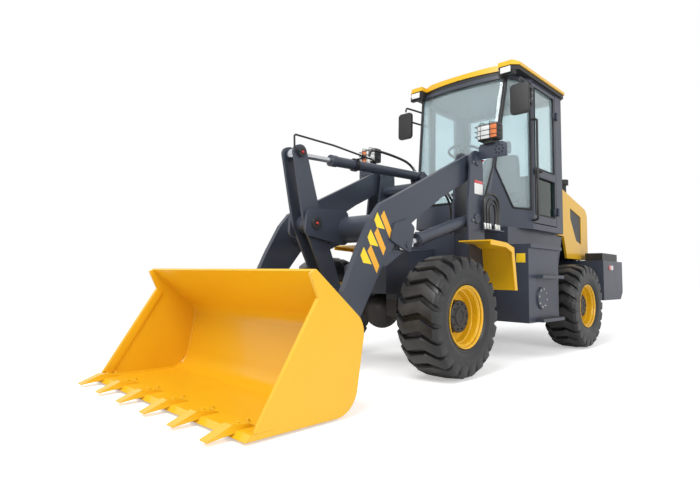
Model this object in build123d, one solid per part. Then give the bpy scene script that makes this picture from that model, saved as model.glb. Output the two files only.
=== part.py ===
from build123d import *
import os
from math import atan2, cos, degrees, hypot, radians, sin

# Driving dimensions in millimetres. X runs forward from the upright axis on which the two frames
# hinge, Y runs to the driver's left and Z up from the ground. At the end every piece is moved
# along X, so that the finished machine has the middle of its length at the origin.

# Running gear
AXLE_REACH = 1255
TRACK = 1358
TYRE_R = 460
TYRE_W = 350
SHOULDER = 28
LUG_COUNT = 22
LUG_DEPTH = 34
LUG_L = 76
LUG_BEND = 42
LUG_TOP_HALF = 128
LUG_FLANK = 72
BEAD_W = 296
RIM_SEAT_R = 216
RIM_LIP_R = 235
RIM_LIP_W = 12
RIM_WALL = 12
DISC_OFFSET = 12
DISC_T = 14
HUB_R = 128
HUB_INNER = 60
HUB_CAP_R = 120
HUB_CAP_L = 78
SPINDLE_R = 45
AXLE_TUBE_R = 68
AXLE_END_R = 92
AXLE_END_L = 55
DIFF_R = 148
AXLE_PAD_W = 110
AXLE_PAD_L = 180
AXLE_PAD_TOP = 560

# Gaps
RUN = 0.1
SEAT = 0.3
MOVE = 6

# Hinge between the frames
HINGE_PIN_R = 40
HINGE_EYE_R = 82
HINGE_LUG_T = 50
HINGE_PLATE_T = 25
HINGE_LOW_Z = 640
HINGE_HIGH_Z = 875
HINGE_GAP = 5

# Front frame
GIRDER_W = 470
GIRDER_REAR = 400
NECK_REAR = 150
NECK_W = 260
GIRDER_FRONT = 1480
GIRDER_LOW = 612
GIRDER_HIGH = 1000
TOWER_REAR = 562
TOWER_FRONT = 828
TOWER_LOW = 710
TOWER_BOX_TOP = 1130
TOWER_PLATE_T = 20
TOWER_GAP = 124
TOWER_TOP_R = 90
BEAM_X = 700
BEAM_Z = 1600
BEAM_R = 55
ANCHOR_EAR_T = 20

# Loader gear: places of the pins, as distances forward and up
ARM_PIN_X = 680
ARM_PIN_Z = 1775
ARM_PIN_R = 35
LIFT_BASE_X = 690
LIFT_BASE_Z = 1263
LIFT_EYE_X = 1597
LIFT_EYE_Z = 985
ROCKER_X = 2115
ROCKER_Z = 1128
ROCKER_TOP_X = 2255
ROCKER_TOP_Z = 1632
ROCKER_LOW_X = 1870
ROCKER_LOW_Z = 626
TILT_BASE_X = 750
TILT_BASE_Z = 1699
BUCKET_PIN_X = 2365
BUCKET_PIN_Z = 286
LINK_PIN_X = 2400
LINK_PIN_Z = 476

# Lift arms
ARM_Y = 510
ARM_T = 44
ARM_BOSS_R = 68
ARM_TAIL_R = 82
ARM_END_R = 70
ARM_KNEE_X = 1985
ARM_KNEE_Z = 1152
CHEEK_T = 16
CROSS_TUBE_X = 1785
CROSS_TUBE_Z = 1105
CROSS_TUBE_R = 102
BRACKET_T = 25
BRACKET_NOSE_R = 95
BUCKET_EAR_T = 25
LOADER_PIN_R = 27
PIN_END = 14

# Rocker and tie link
ROCKER_T = 22
ROCKER_GAP = 102
ROCKER_HUB_R = 62
ROCKER_END_R = 58
ROCKER_WAIST = 88
LINK_EYE_R = 48
LINK_W = 90
LINK_BAR = 62

# Cylinders
LIFT_BARREL_R = 50
LIFT_BORE_R = 40
LIFT_ROD_R = 28
LIFT_GLAND_BACK = 150
LIFT_EYE_R = 46
LIFT_EYE_W = 34
LIFT_BASE_W = 60
EYE_NECK = 36
TILT_BARREL_R = 41
TILT_BORE_R = 32
TILT_ROD_R = 22
TILT_GLAND_BACK = 360
TILT_EYE_R = 40
TILT_EYE_W = 80
TILT_BASE_W = 92
STEER_BARREL_R = 34
STEER_BORE_R = 26
STEER_ROD_R = 16
STEER_EYE_R = 32
STEER_Z = 750
STEER_BASE_X = -420
STEER_BASE_Y = 270
STEER_EYE_X = 300
STEER_EYE_Y = 230
STEER_GLAND_BACK = 231
STEER_INSIDE = 240
STEER_PIN_R = 16
STEER_LUG_T = 20
STEER_BASE_GAP = 40
STEER_EYE_GAP = 32
GLAND_L = 60
PISTON_L = 50

# Bucket
BUCKET_W = 1850
BUCKET_FLOOR_Z = 15
BUCKET_LIP_X = 2835
BUCKET_LIP_Z = 783
BUCKET_EAR_X = 2874
BUCKET_EAR_Z = 760
BUCKET_THROAT_X = 2812
BUCKET_THROAT_Z = 634
BUCKET_HEEL_X = 2540
BUCKET_BACK_X = 2462
BUCKET_BACK_Z = 490
BUCKET_BLADE_X = 3225
BUCKET_BLADE_L = 150
BUCKET_PLATE_T = 14
BUCKET_SIDE_T = 18
BLADE_T = 28
HEEL_R = 150
BACK_R = 130
TOOTH_COUNT = 6
TOOTH_PITCH = 315
TOOTH_REACH = 124
TOOTH_W = 62
TOOTH_ROOT = 190

# Mudguards and headlamps
GUARD_T = 10
GUARD_OUTER_Y = 890
GUARD_FRONT_X = 985
GUARD_TOP_Z = 1052
GUARD_REAR_X = 545
GUARD_LOW_Z = 650
LAMP_X = 650
LAMP_Y = 700
LAMP_Z = 2018
LAMP_W = 200
LAMP_H = 150
LAMP_D = 110
LAMP_BRACKET_T = 12
LAMP_BRACKET_LOW = 1790
LAMP_BRACKET_OUT = 862

# Rear frame
RAIL_T = 50
RAIL_Y = 225
RAIL_LOW = 600
RAIL_HIGH = 900
REAR_BOX_X = -180
REAR_BOX_L = 320
REAR_BOX_W = 260
YOKE_L = 60
DECK_FRONT = 85
DECK_REAR = -640
DECK_HALF = 800
DECK_Z = 1040
DECK_T = 34
SIDE_BOX_IN = 420
SIDE_BOX_OUT = 775
SIDE_BOX_LOW = 340
SIDE_BOX_REAR = -600
STEP_OUT = 850
STEP_T = 30
STEP_FRONT = -60
STEP_REAR = -560
STEP_LOW_Z = 345
STEP_HIGH_Z = 755
PORT_X = -192
PORT_Z = 565
PORT_R = 105
PORT_T = 14

# Cab
CAB_LOW = 1250
CAB_TOP = 2815
CAB_REAR = -1100
CAB_HALF = 640
CAB_SIDE_FRONT = -330
CAB_NOSE_LOW_X = 225
CAB_NOSE_LOW_Y = 418
CAB_NOSE_TOP_X = -30
CAB_NOSE_TOP_Y = 520
CAB_BOW = 55
CAB_WALL = 40
CAB_BASE_HALF = 560
CAB_BASE_FRONT = 60
SILL_Z = 1450
PANE_KNEE_Z = 1835
PANE_KNEE_RUN = 262
SCREEN_LOW = 1500
SCREEN_LOW_HALF = 380
SEAM = 12
HEAD_Z = 2765
POST = 48
GLASS_T = 6
DOOR_FRONT = -350
DOOR_REAR = -920
DOOR_LOW = 1320
DOOR_TOP = 2790
DOOR_GAP = 10
DOOR_PIN_OUT = 20
DOOR_PIN_R = 7
DOOR_EYE_R = 13
DOOR_EYE_H = 60
DOOR_STRAP_L = 70
DOOR_STRAP_T = 8
DOOR_HINGES = (1480, 2560)
DOOR_FRAME = 45
DOOR_RAIL_Z = 1850
DOOR_RAIL_H = 90
REAR_SILL_Z = 1960
ROOF_FRONT = 60
ROOF_REAR = -1190
ROOF_HALF = 675
ROOF_LINING_T = 42
ROOF_T = 46
ROOF_CROWN = 44
ROOF_BROW = 470
ROOF_BEND = 300
ROOF_SWEEP = 70
ROOF_CORNER_R = 60
POD_W = 170
POD_D = 90
POD_H = 92
ROOF_LAMP_Y = 554
ROOF_LAMP_W = 124
ROOF_LAMP_H = 74
ROOF_LAMP_D = 24
MIRROR_X = 63
MIRROR_Y = 700
MIRROR_Z = 2483
MIRROR_W = 190
MIRROR_H = 305
MIRROR_T = 36
MIRROR_TUBE_R = 11
MIRROR_FOOT_W = 30
MIRROR_FOOT_H = 110

# Inside the cab
SEAT_X = -700
SEAT_W = 480
SEAT_L = 460
SEAT_Z = 1720
SEAT_PAD_T = 110
SEAT_BACK_H = 480
SEAT_BACK_T = 100
HEADREST_H = 170
HEADREST_W = 260
PEDESTAL_W = 300
WHEEL_R = 190
WHEEL_RIM_R = 14
WHEEL_X = -120
WHEEL_Z = 2090
COLUMN_FOOT_X = 50
COLUMN_R = 38

# Engine end
ENGINE_FRONT = -1300
ENGINE_REAR = -1930
ENGINE_HALF = RAIL_Y - RAIL_T / 2 - SEAT
ENGINE_LOW = 640
ENGINE_TOP = 1450
HOOD_FRONT = -1125
HOOD_REAR = -2268
HOOD_HALF = 500
HOOD_LOW = 1000
HOOD_FRONT_Z = 1905
HOOD_REAR_Z = 1640
HOOD_WALL = 28
HOOD_NOSE_R = 130
HOOD_STEP_Z = 1262
HOOD_STEP_X = -1478
HOOD_STEP_L = 90
PANEL_REAR = -1440
PANEL_LOW = 840
PANEL_T = 20
PANEL_Y = 490
PIPE_X = -1740
PIPE_Y = 395
PIPE_TOP = 1990
PIPE_CAP_R = 68
PIPE_CAP_H = 62
PIPE_R = 42
VENT_FRONT = -1690
VENT_REAR = -2040
VENT_LOW = 1190
VENT_TOP_FRONT = 1625
VENT_TOP_REAR = 1540
RADIATOR_REAR = -2140
RADIATOR_T = 120
RADIATOR_HALF = 400
RADIATOR_TOP = 1540
WEIGHT_FRONT = -1960
WEIGHT_REAR = -2700
WEIGHT_HALF = 785
WEIGHT_LOW = 500
WEIGHT_TOP = 985
WEIGHT_CHAMFER = 90
REAR_BOX_TOP = 1078
REAR_TOOLBOX_IN = 560
REAR_TOOLBOX_OUT = 765
REAR_TOOLBOX_FRONT = -1995
REAR_TOOLBOX_REAR = -2560
HOOD_PIN_X = -2300
HOOD_PIN_Z = 1022
HOOD_PIN_R = 11
HOOD_EYE_R = 22
HOOD_EYE_W = 70
HOOD_EYE_Y = 330
HOOD_EAR_T = 14
HITCH_W = 150
HITCH_H = 110
HITCH_D = 230
HITCH_R = 22
HITCH_Z = 640

FRONT_REACH = BUCKET_BLADE_X + TOOTH_REACH
MIDDLE = (FRONT_REACH + WEIGHT_REAR) / 2


# Shapes that the pieces share

def slab(points, width, y=0, radius=0):
    """An outline in X and Z, as wide as width about y."""
    edge = FilletPolyline(*points, radius=radius, close=True) if radius else Polyline(*points, close=True)
    return Pos(0, y, 0) * Rot(90, 0, 0) * extrude(make_face(edge), width / 2, both=True)


def block(x0, x1, y0, y1, z0, z1):
    """A block between two corners."""
    return Pos((x0 + x1) / 2, (y0 + y1) / 2, (z0 + z1) / 2) * Box(abs(x1 - x0), abs(y1 - y0), abs(z1 - z0))


def crossbar(x, z, radius, width, y=0):
    """A round bar along Y about y."""
    return Pos(x, y, z) * Rot(90, 0, 0) * Cylinder(radius, width)


def upright(x, y, z0, z1, radius):
    """A round bar along Z."""
    return Pos(x, y, (z0 + z1) / 2) * Cylinder(radius, z1 - z0)


def along(start, end, radius, y, first=0, last=None):
    """A round bar in the X and Z plane at y, on the line from start to end."""
    run = hypot(end[0] - start[0], end[1] - start[1])
    tilt = degrees(atan2(end[1] - start[1], end[0] - start[0]))
    last = run if last is None else last
    bar = Pos(0, 0, first) * Cylinder(radius, last - first, align=(Align.CENTER, Align.CENTER, Align.MIN))
    return Pos(start[0], y, start[1]) * Rot(0, 90 - tilt, 0) * bar


def pair(shape):
    """A shape and its mirror image on the other side of the machine."""
    return shape + mirror(shape, Plane.XZ)


def away(start, end, distance, side=0):
    """The point at a distance from start towards end, and to the left of that line by side."""
    run = hypot(end[0] - start[0], end[1] - start[1])
    ux = (end[0] - start[0]) / run
    uz = (end[1] - start[1]) / run
    return (start[0] + ux * distance - uz * side, start[1] + uz * distance + ux * side)


ARM_PIN = (ARM_PIN_X, ARM_PIN_Z)
LIFT_BASE = (LIFT_BASE_X, LIFT_BASE_Z)
LIFT_EYE = (LIFT_EYE_X, LIFT_EYE_Z)
ROCKER_PIN = (ROCKER_X, ROCKER_Z)
ROCKER_TOP = (ROCKER_TOP_X, ROCKER_TOP_Z)
ROCKER_LOW = (ROCKER_LOW_X, ROCKER_LOW_Z)
TILT_BASE = (TILT_BASE_X, TILT_BASE_Z)
BUCKET_PIN = (BUCKET_PIN_X, BUCKET_PIN_Z)
LINK_PIN = (LINK_PIN_X, LINK_PIN_Z)
WHEEL_Z0 = TYRE_R
TOWER_IN = ARM_Y - TOWER_GAP / 2 - TOWER_PLATE_T / 2
TOWER_OUT = ARM_Y + TOWER_GAP / 2 + TOWER_PLATE_T / 2
TOWER_FACE = TOWER_OUT + TOWER_PLATE_T / 2


# Wheels

def tyre():
    """A tyre with zigzag lugs fused to it, its axis along Y and its outer side towards +Y."""
    half = TYRE_W / 2
    bead = BEAD_W / 2
    inner = RIM_SEAT_R + SEAT
    root = TYRE_R - LUG_DEPTH
    wall = RIM_LIP_R + 2 * SHOULDER
    points = [(inner, -bead), (RIM_LIP_R + SEAT, -bead), (RIM_LIP_R + SHOULDER / 2, -half + SHOULDER / 2)]
    points += [(wall, -half), (root - LUG_FLANK / 2, -half + 2), (root, -half + SHOULDER)]
    points += [(r, -y) for r, y in reversed(points)]
    shape = revolve(make_face(Polyline(*points, close=True)), Axis.Y)
    return shape.fuse(*[Rot(0, i * 360 / LUG_COUNT, 0) * lug() for i in range(LUG_COUNT)])


def lug():
    """One lug across the foot of the tyre, bent twice, its ends cut down to the side walls."""
    half = TYRE_W / 2
    line = [(half + 1, -LUG_BEND), (LUG_BEND, LUG_BEND / 2), (-LUG_BEND * 2.4, -LUG_BEND / 3), (-half - 1, LUG_BEND)]
    edge = [(x + LUG_L / 2, y) for y, x in line] + [(x - LUG_L / 2, y) for y, x in reversed(line)]
    block_in = TYRE_R - LUG_DEPTH - LUG_FLANK
    bar = Pos(0, 0, -TYRE_R) * extrude(make_face(Polyline(*edge, close=True)), TYRE_R - block_in)
    side = [(LUG_TOP_HALF, -TYRE_R), (half - 2, -TYRE_R + LUG_DEPTH), (half - 2, -block_in)]
    side += [(-y, z) for y, z in reversed(side)]
    profile = Plane(origin=(0, 0, 0), x_dir=(0, 1, 0), z_dir=(1, 0, 0)) * make_face(Polyline(*side, close=True))
    return bar & extrude(profile, LUG_L * 2, both=True)


def rim():
    """A deep steel rim with its disc and hub, its outer side towards +Y."""
    lip = BEAD_W / 2 + SEAT + RIM_LIP_W
    inner = RIM_SEAT_R - RIM_WALL
    barrel = [(inner, -lip), (RIM_LIP_R, -lip), (RIM_LIP_R, -lip + RIM_LIP_W), (RIM_SEAT_R, -lip + RIM_LIP_W)]
    barrel += [(r, -y) for r, y in reversed(barrel)]
    wheel = revolve(make_face(Polyline(*barrel, close=True)), Axis.Y)
    face = DISC_OFFSET + DISC_T
    wheel += crossbar(0, 0, inner + RIM_WALL / 2, DISC_T, DISC_OFFSET + DISC_T / 2)
    wheel += crossbar(0, 0, HUB_R, face + HUB_INNER, (face - HUB_INNER) / 2)
    wheel += crossbar(0, 0, HUB_CAP_R, HUB_CAP_L, face + HUB_CAP_L / 2)
    bore = SPINDLE_R + RUN
    return wheel - crossbar(0, 0, bore, DISC_OFFSET + HUB_INNER, (DISC_OFFSET - HUB_INNER) / 2)


def axle():
    """An axle housing with its ball, pads, end flanges and spindles, about the wheel centres."""
    hub_face = TRACK / 2 - HUB_INNER - SEAT
    tip = TRACK / 2 + DISC_OFFSET - SEAT
    shape = crossbar(0, 0, AXLE_TUBE_R, 2 * (hub_face - AXLE_END_L)) + Sphere(DIFF_R)
    ends = crossbar(0, 0, AXLE_END_R, AXLE_END_L, hub_face - AXLE_END_L / 2)
    ends += crossbar(0, 0, SPINDLE_R, tip - hub_face, (tip + hub_face) / 2)
    pad_x = AXLE_PAD_L / 2
    pad_z = AXLE_PAD_TOP - WHEEL_Z0
    ends += block(-pad_x, pad_x, GIRDER_W / 2 - AXLE_PAD_W, GIRDER_W / 2, -AXLE_TUBE_R / 2, pad_z)
    return shape + pair(ends)


# Front frame

def tower_plate(y):
    """One of the four upright plates that hold the arms."""
    top = ARM_PIN_Z + TOWER_TOP_R
    left = ARM_PIN_X - TOWER_TOP_R
    right = ARM_PIN_X + TOWER_TOP_R
    points = [(TOWER_REAR, TOWER_LOW), (TOWER_FRONT, TOWER_LOW), (TOWER_FRONT, LIFT_BASE_Z + TOWER_GAP)]
    points += [(right, top), (left, top), (TOWER_REAR, LIFT_BASE_Z)]
    return slab(points, TOWER_PLATE_T, y, TOWER_TOP_R - MOVE)


def front_frame():
    """The girder, its hinge lugs, the tower and the pins that are fixed in it."""
    nose = [(GIRDER_REAR, GIRDER_LOW), (GIRDER_FRONT, GIRDER_LOW), (GIRDER_FRONT, GIRDER_LOW + 220)]
    nose += [(AXLE_REACH, GIRDER_HIGH - 40), (TOWER_FRONT, GIRDER_HIGH), (GIRDER_REAR, GIRDER_HIGH)]
    shape = slab(nose, GIRDER_W)
    shape += block(NECK_REAR, GIRDER_REAR + 1, -NECK_W / 2, NECK_W / 2, GIRDER_LOW, GIRDER_HIGH - 60)
    for z in (HINGE_LOW_Z, HINGE_HIGH_Z):
        lug = upright(0, 0, z - HINGE_LUG_T / 2, z + HINGE_LUG_T / 2, HINGE_EYE_R)
        lug += block(0, NECK_REAR + 1, -HINGE_EYE_R, HINGE_EYE_R, z - HINGE_LUG_T / 2, z + HINGE_LUG_T / 2)
        shape += lug - upright(0, 0, z - HINGE_LUG_T, z + HINGE_LUG_T, HINGE_PIN_R + RUN)
    half = TOWER_FACE
    shape += block(TOWER_REAR + 12, TOWER_FRONT - 12, -half, half, TOWER_LOW, TOWER_BOX_TOP)
    for y in (-TOWER_OUT, -TOWER_IN, TOWER_IN, TOWER_OUT):
        shape += tower_plate(y)
    pad_x = AXLE_PAD_L / 2
    pad = block(AXLE_REACH - pad_x, AXLE_REACH + pad_x, GIRDER_W / 2 - AXLE_PAD_W, GIRDER_W / 2,
                AXLE_PAD_TOP + SEAT, GIRDER_LOW)
    pins = crossbar(ARM_PIN_X, ARM_PIN_Z, ARM_PIN_R, TOWER_GAP + 2 * TOWER_PLATE_T, ARM_Y)
    pins += crossbar(LIFT_BASE_X, LIFT_BASE_Z, LOADER_PIN_R, TOWER_GAP + 2 * TOWER_PLATE_T, ARM_Y)
    shape += pair(pad + pins)
    shape += crossbar(BEAM_X, BEAM_Z, BEAM_R, 2 * TOWER_IN)
    ear_y = TILT_BASE_W / 2 + RUN + ANCHOR_EAR_T / 2 + SEAT
    ear = slab([(BEAM_X - BEAM_R, BEAM_Z), (BEAM_X + BEAM_R, BEAM_Z - BEAM_R / 2),
                (TILT_BASE_X + TILT_EYE_R, TILT_BASE_Z - TILT_EYE_R / 2), (TILT_BASE_X, TILT_BASE_Z + TILT_EYE_R),
                (BEAM_X - BEAM_R / 2, TILT_BASE_Z)], ANCHOR_EAR_T, ear_y)
    shape += pair(ear)
    shape += crossbar(TILT_BASE_X, TILT_BASE_Z, LOADER_PIN_R, 2 * ear_y + ANCHOR_EAR_T)
    return shape + pair(steer_lug(STEER_EYE_X, STEER_EYE_Y, NECK_W / 2 - 1, STEER_EYE_GAP, False))


def steer_lug(x, y, root_y, gap, pinned):
    """Two plates above and below a steering cylinder's eye, with its pin or only the pin's ends."""
    lug = upright(x, y, STEER_Z - gap - STEER_LUG_T, STEER_Z + gap + STEER_LUG_T, STEER_PIN_R) if pinned else None
    for z, end in ((STEER_Z - gap - STEER_LUG_T, -HINGE_GAP), (STEER_Z + gap, STEER_LUG_T)):
        plate = upright(x, y, z, z + STEER_LUG_T, STEER_EYE_R) + upright(x, y, z + end, z + end + HINGE_GAP, STEER_PIN_R)
        plate += block(x - STEER_EYE_R, x + STEER_EYE_R, min(root_y, y), max(root_y, y), z, z + STEER_LUG_T)
        lug = plate + lug if lug else plate
    return lug


def front_guards():
    """Bent steel mudguards behind the front wheels, with a lip along the outer edge."""
    top = [(GUARD_FRONT_X, GUARD_TOP_Z), (GUARD_FRONT_X - 250, GUARD_TOP_Z - 10)]
    rear = [(GUARD_REAR_X + 55, GUARD_TOP_Z - 45), (GUARD_REAR_X, GUARD_LOW_Z)]
    outer = top + rear
    inner = [(GUARD_REAR_X + GUARD_T, GUARD_LOW_Z), (GUARD_REAR_X + 55 + GUARD_T, GUARD_TOP_Z - 45 - GUARD_T)]
    inner += [(GUARD_FRONT_X - 250, GUARD_TOP_Z - 10 - GUARD_T), (GUARD_FRONT_X, GUARD_TOP_Z - GUARD_T)]
    width = GUARD_OUTER_Y - TOWER_FACE - SEAT
    sheet = slab(outer + inner, width, TOWER_FACE + SEAT + width / 2)
    deep = 4 * GUARD_T
    lip_in = [(GUARD_REAR_X + deep, GUARD_LOW_Z), (GUARD_REAR_X + 55 + deep, GUARD_TOP_Z - 45 - deep)]
    lip_in += [(GUARD_FRONT_X - 250, GUARD_TOP_Z - 10 - deep), (GUARD_FRONT_X, GUARD_TOP_Z - deep)]
    sheet += slab(outer + lip_in, GUARD_T, GUARD_OUTER_Y - GUARD_T / 2)
    return pair(sheet)


def headlamps():
    """Lamp housings on upright bracket plates beside the tower tops."""
    base = LAMP_Z - LAMP_H / 2
    plate = block(LAMP_X - LAMP_BRACKET_T / 2, LAMP_X + LAMP_BRACKET_T / 2, TOWER_FACE + SEAT, LAMP_BRACKET_OUT,
                  LAMP_BRACKET_LOW, base - 20)
    plate += block(LAMP_X - LAMP_D / 2, LAMP_X + LAMP_D / 2, LAMP_Y - LAMP_W / 4, LAMP_Y + LAMP_W / 4, base - 20, base)
    housing = block(LAMP_X - LAMP_D / 2, LAMP_X + LAMP_D / 2, LAMP_Y - LAMP_W / 2, LAMP_Y + LAMP_W / 2,
                    base, base + LAMP_H)
    return pair(plate + housing)


# Loader gear

def arm_outline():
    """The side of a lift arm, from its tail on the tower to its end at the bucket."""
    tail = away(ARM_PIN, (ARM_KNEE_X, ARM_KNEE_Z), -ARM_TAIL_R, ARM_TAIL_R / 2)
    tail_low = away(ARM_PIN, (ARM_KNEE_X, ARM_KNEE_Z), -ARM_TAIL_R, -ARM_TAIL_R)
    front = [(1615, 1394), (1890, 1262), (ARM_KNEE_X, ARM_KNEE_Z), (2107, 939), (2250, 650)]
    front += [(BUCKET_PIN_X - 87, BUCKET_PIN_Z + 214)]
    tip = (BUCKET_PIN_X + ARM_END_R * 0.8, BUCKET_PIN_Z + ARM_END_R * 0.6)
    heel = (BUCKET_PIN_X - ARM_END_R * 0.8, BUCKET_PIN_Z - ARM_END_R * 0.6)
    back = [(2095, 465), (1879, 806), (1650, 1081), (1415, 1235), (1090, 1427), (773, 1582)]
    return [tail, (ARM_PIN_X + ARM_TAIL_R, ARM_PIN_Z + ARM_TAIL_R / 2)] + front + [tip, heel] + back + [tail_low]


def lift_arms():
    """Both arms, the cross tube and the rocker's bracket, welded together."""
    arm = slab(arm_outline(), ARM_T, ARM_Y)
    arm += crossbar(ARM_PIN_X, ARM_PIN_Z, ARM_BOSS_R, TOWER_GAP - 4, ARM_Y)
    arm += crossbar(BUCKET_PIN_X, BUCKET_PIN_Z, ARM_END_R, ARM_T, ARM_Y)
    cheek = [away(LIFT_EYE, ROCKER_PIN, -LIFT_EYE_R, -LIFT_EYE_R), away(LIFT_EYE, ROCKER_PIN, LIFT_EYE_R, -LIFT_EYE_R)]
    cheek += [(1800, 1010), (1760, 1130), (1600, 1180), (1520, 1120)]
    for side in (-1, 1):
        arm += slab(cheek, CHEEK_T, ARM_Y + side * (ARM_T + CHEEK_T) / 2, LIFT_EYE_R / 2)
        arm += crossbar(*LIFT_EYE, LOADER_PIN_R, PIN_END, ARM_Y + side * (ARM_T / 2 + CHEEK_T))
    arm -= crossbar(ARM_PIN_X, ARM_PIN_Z, ARM_PIN_R + RUN, TOWER_GAP, ARM_Y)
    arm -= crossbar(BUCKET_PIN_X, BUCKET_PIN_Z, LOADER_PIN_R + RUN, 2 * ARM_T, ARM_Y)
    shape = pair(arm) + crossbar(CROSS_TUBE_X, CROSS_TUBE_Z, CROSS_TUBE_R, 2 * ARM_Y)
    bracket = [away(ROCKER_PIN, (CROSS_TUBE_X, CROSS_TUBE_Z), -BRACKET_NOSE_R, -BRACKET_NOSE_R)]
    bracket += [(CROSS_TUBE_X, CROSS_TUBE_Z + 150), (CROSS_TUBE_X, CROSS_TUBE_Z - 130)]
    bracket += [away(ROCKER_PIN, (CROSS_TUBE_X, CROSS_TUBE_Z), -BRACKET_NOSE_R, BRACKET_NOSE_R)]
    inner = ROCKER_GAP / 2 + ROCKER_T + MOVE
    plate = slab(bracket, BRACKET_T, inner + BRACKET_T / 2, BRACKET_NOSE_R / 2)
    shape += pair(plate)
    return shape - crossbar(ROCKER_X, ROCKER_Z, LOADER_PIN_R + RUN, 4 * inner)


def rocker_plate(y):
    """One side plate of the rocker, bent at its hub."""
    up = away(ROCKER_PIN, ROCKER_TOP, 0, ROCKER_WAIST), away(ROCKER_PIN, ROCKER_TOP, 0, -ROCKER_WAIST)
    top = (away(ROCKER_TOP, ROCKER_PIN, -ROCKER_END_R, ROCKER_END_R),
           away(ROCKER_TOP, ROCKER_PIN, -ROCKER_END_R, -ROCKER_END_R))
    low = (away(ROCKER_LOW, ROCKER_PIN, -ROCKER_END_R, ROCKER_END_R),
           away(ROCKER_LOW, ROCKER_PIN, -ROCKER_END_R, -ROCKER_END_R))
    points = [up[0], low[0], low[1], up[1], top[0], top[1]]
    return slab(points, ROCKER_T, y, ROCKER_END_R - MOVE)


def rocker():
    """Two plates on a hub tube, with the ends of the pins at their tops and feet."""
    y = (ROCKER_GAP + ROCKER_T) / 2
    shape = rocker_plate(y) + rocker_plate(-y)
    shape += crossbar(ROCKER_X, ROCKER_Z, ROCKER_HUB_R, ROCKER_GAP + 2 * ROCKER_T)
    shape -= crossbar(ROCKER_X, ROCKER_Z, LOADER_PIN_R + RUN, 2 * ROCKER_GAP)
    for end in (ROCKER_TOP, ROCKER_LOW):
        shape += pair(crossbar(*end, LOADER_PIN_R, PIN_END, y + (ROCKER_T + PIN_END) / 2))
    return shape


def tie_link():
    """The link from the rocker's low end towards the bucket's upper ears."""
    shape = crossbar(ROCKER_LOW_X, ROCKER_LOW_Z, LINK_EYE_R, LINK_W)
    shape += crossbar(LINK_PIN_X, LINK_PIN_Z, LINK_EYE_R, LINK_W)
    corners = [away(ROCKER_LOW, LINK_PIN, 0, LINK_BAR / 2), away(LINK_PIN, ROCKER_LOW, 0, -LINK_BAR / 2)]
    corners += [away(LINK_PIN, ROCKER_LOW, 0, LINK_BAR / 2), away(ROCKER_LOW, LINK_PIN, 0, -LINK_BAR / 2)]
    shape += slab(corners, LINK_W)
    return shape - crossbar(LINK_PIN_X, LINK_PIN_Z, LOADER_PIN_R + RUN, 2 * LINK_W)


def bucket_wall(inset):
    """The bucket's floor, curved back and top as an outline, moved inwards by inset."""
    low = BUCKET_FLOOR_Z + inset
    edge = [(BUCKET_BLADE_X - BUCKET_BLADE_L, low), (BUCKET_HEEL_X + inset, low)]
    edge += [(BUCKET_BACK_X + inset, BUCKET_BACK_Z - inset * 0.4), (BUCKET_LIP_X + inset * 0.6, BUCKET_LIP_Z - inset * 0.8)]
    return edge


def bucket():
    """The welded shell with its side plates, edge strips and hinge ears."""
    line = FilletPolyline(*bucket_wall(0), radius=[HEEL_R, BACK_R])
    inner = FilletPolyline(*bucket_wall(BUCKET_PLATE_T), radius=[HEEL_R - BUCKET_PLATE_T, BACK_R - BUCKET_PLATE_T])
    skin = make_face(Wire([*line.edges(), Line(line @ 1, inner @ 1), *inner.edges(), Line(inner @ 0, line @ 0)]))
    shape = Rot(90, 0, 0) * extrude(skin, BUCKET_W / 2 - BUCKET_SIDE_T / 2, both=True)
    closing = [line @ 1, (BUCKET_EAR_X, BUCKET_EAR_Z), (BUCKET_THROAT_X, BUCKET_THROAT_Z)]
    closing += [(BUCKET_BLADE_X - BUCKET_BLADE_L / 3, BUCKET_FLOOR_Z + BLADE_T + SEAT)]
    closing += [(BUCKET_BLADE_X - BUCKET_BLADE_L, BUCKET_FLOOR_Z + BLADE_T + SEAT), line @ 0]
    side = make_face(Wire([*line.edges(), *Polyline(*closing).edges()]))
    plate = Pos(0, (BUCKET_W - BUCKET_SIDE_T) / 2, 0) * Rot(90, 0, 0) * extrude(side, BUCKET_SIDE_T / 2, both=True)
    shape += pair(plate)
    mouth = Polyline(inner @ 1, (BUCKET_BLADE_X, BUCKET_LIP_Z), (BUCKET_BLADE_X, BUCKET_FLOOR_Z + BUCKET_PLATE_T), inner @ 0)
    hollow = extrude(make_face(Wire([*inner.edges(), *mouth.edges()])), BUCKET_W / 2, both=True)
    ears = link_ear(ROCKER_GAP / 2 + BUCKET_EAR_T / 2)
    for inner_y in (ARM_Y - ARM_T / 2 - MOVE - BUCKET_EAR_T, ARM_Y + ARM_T / 2 + MOVE):
        ears += hinge_ear(inner_y + BUCKET_EAR_T / 2)
    return shape + pair(ears - Rot(90, 0, 0) * hollow)


def hinge_ear(y):
    """A plate on the bucket's back, with the bore of the bucket's hinge pin."""
    bite = BUCKET_PLATE_T / 2
    end = ARM_END_R - 8
    points = [(BUCKET_PIN_X - end * 0.5, BUCKET_PIN_Z + end * 1.3), (BUCKET_PIN_X - end, BUCKET_PIN_Z)]
    points += [(BUCKET_PIN_X, BUCKET_PIN_Z - end)]
    points += [(BUCKET_HEEL_X + bite, BUCKET_FLOOR_Z + HEEL_R * 0.62), (BUCKET_BACK_X + bite + 22, BUCKET_BACK_Z - 90)]
    ear = slab(points, BUCKET_EAR_T, y)
    return ear - crossbar(BUCKET_PIN_X, BUCKET_PIN_Z, LOADER_PIN_R + RUN, 2 * BUCKET_EAR_T, y)


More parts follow.
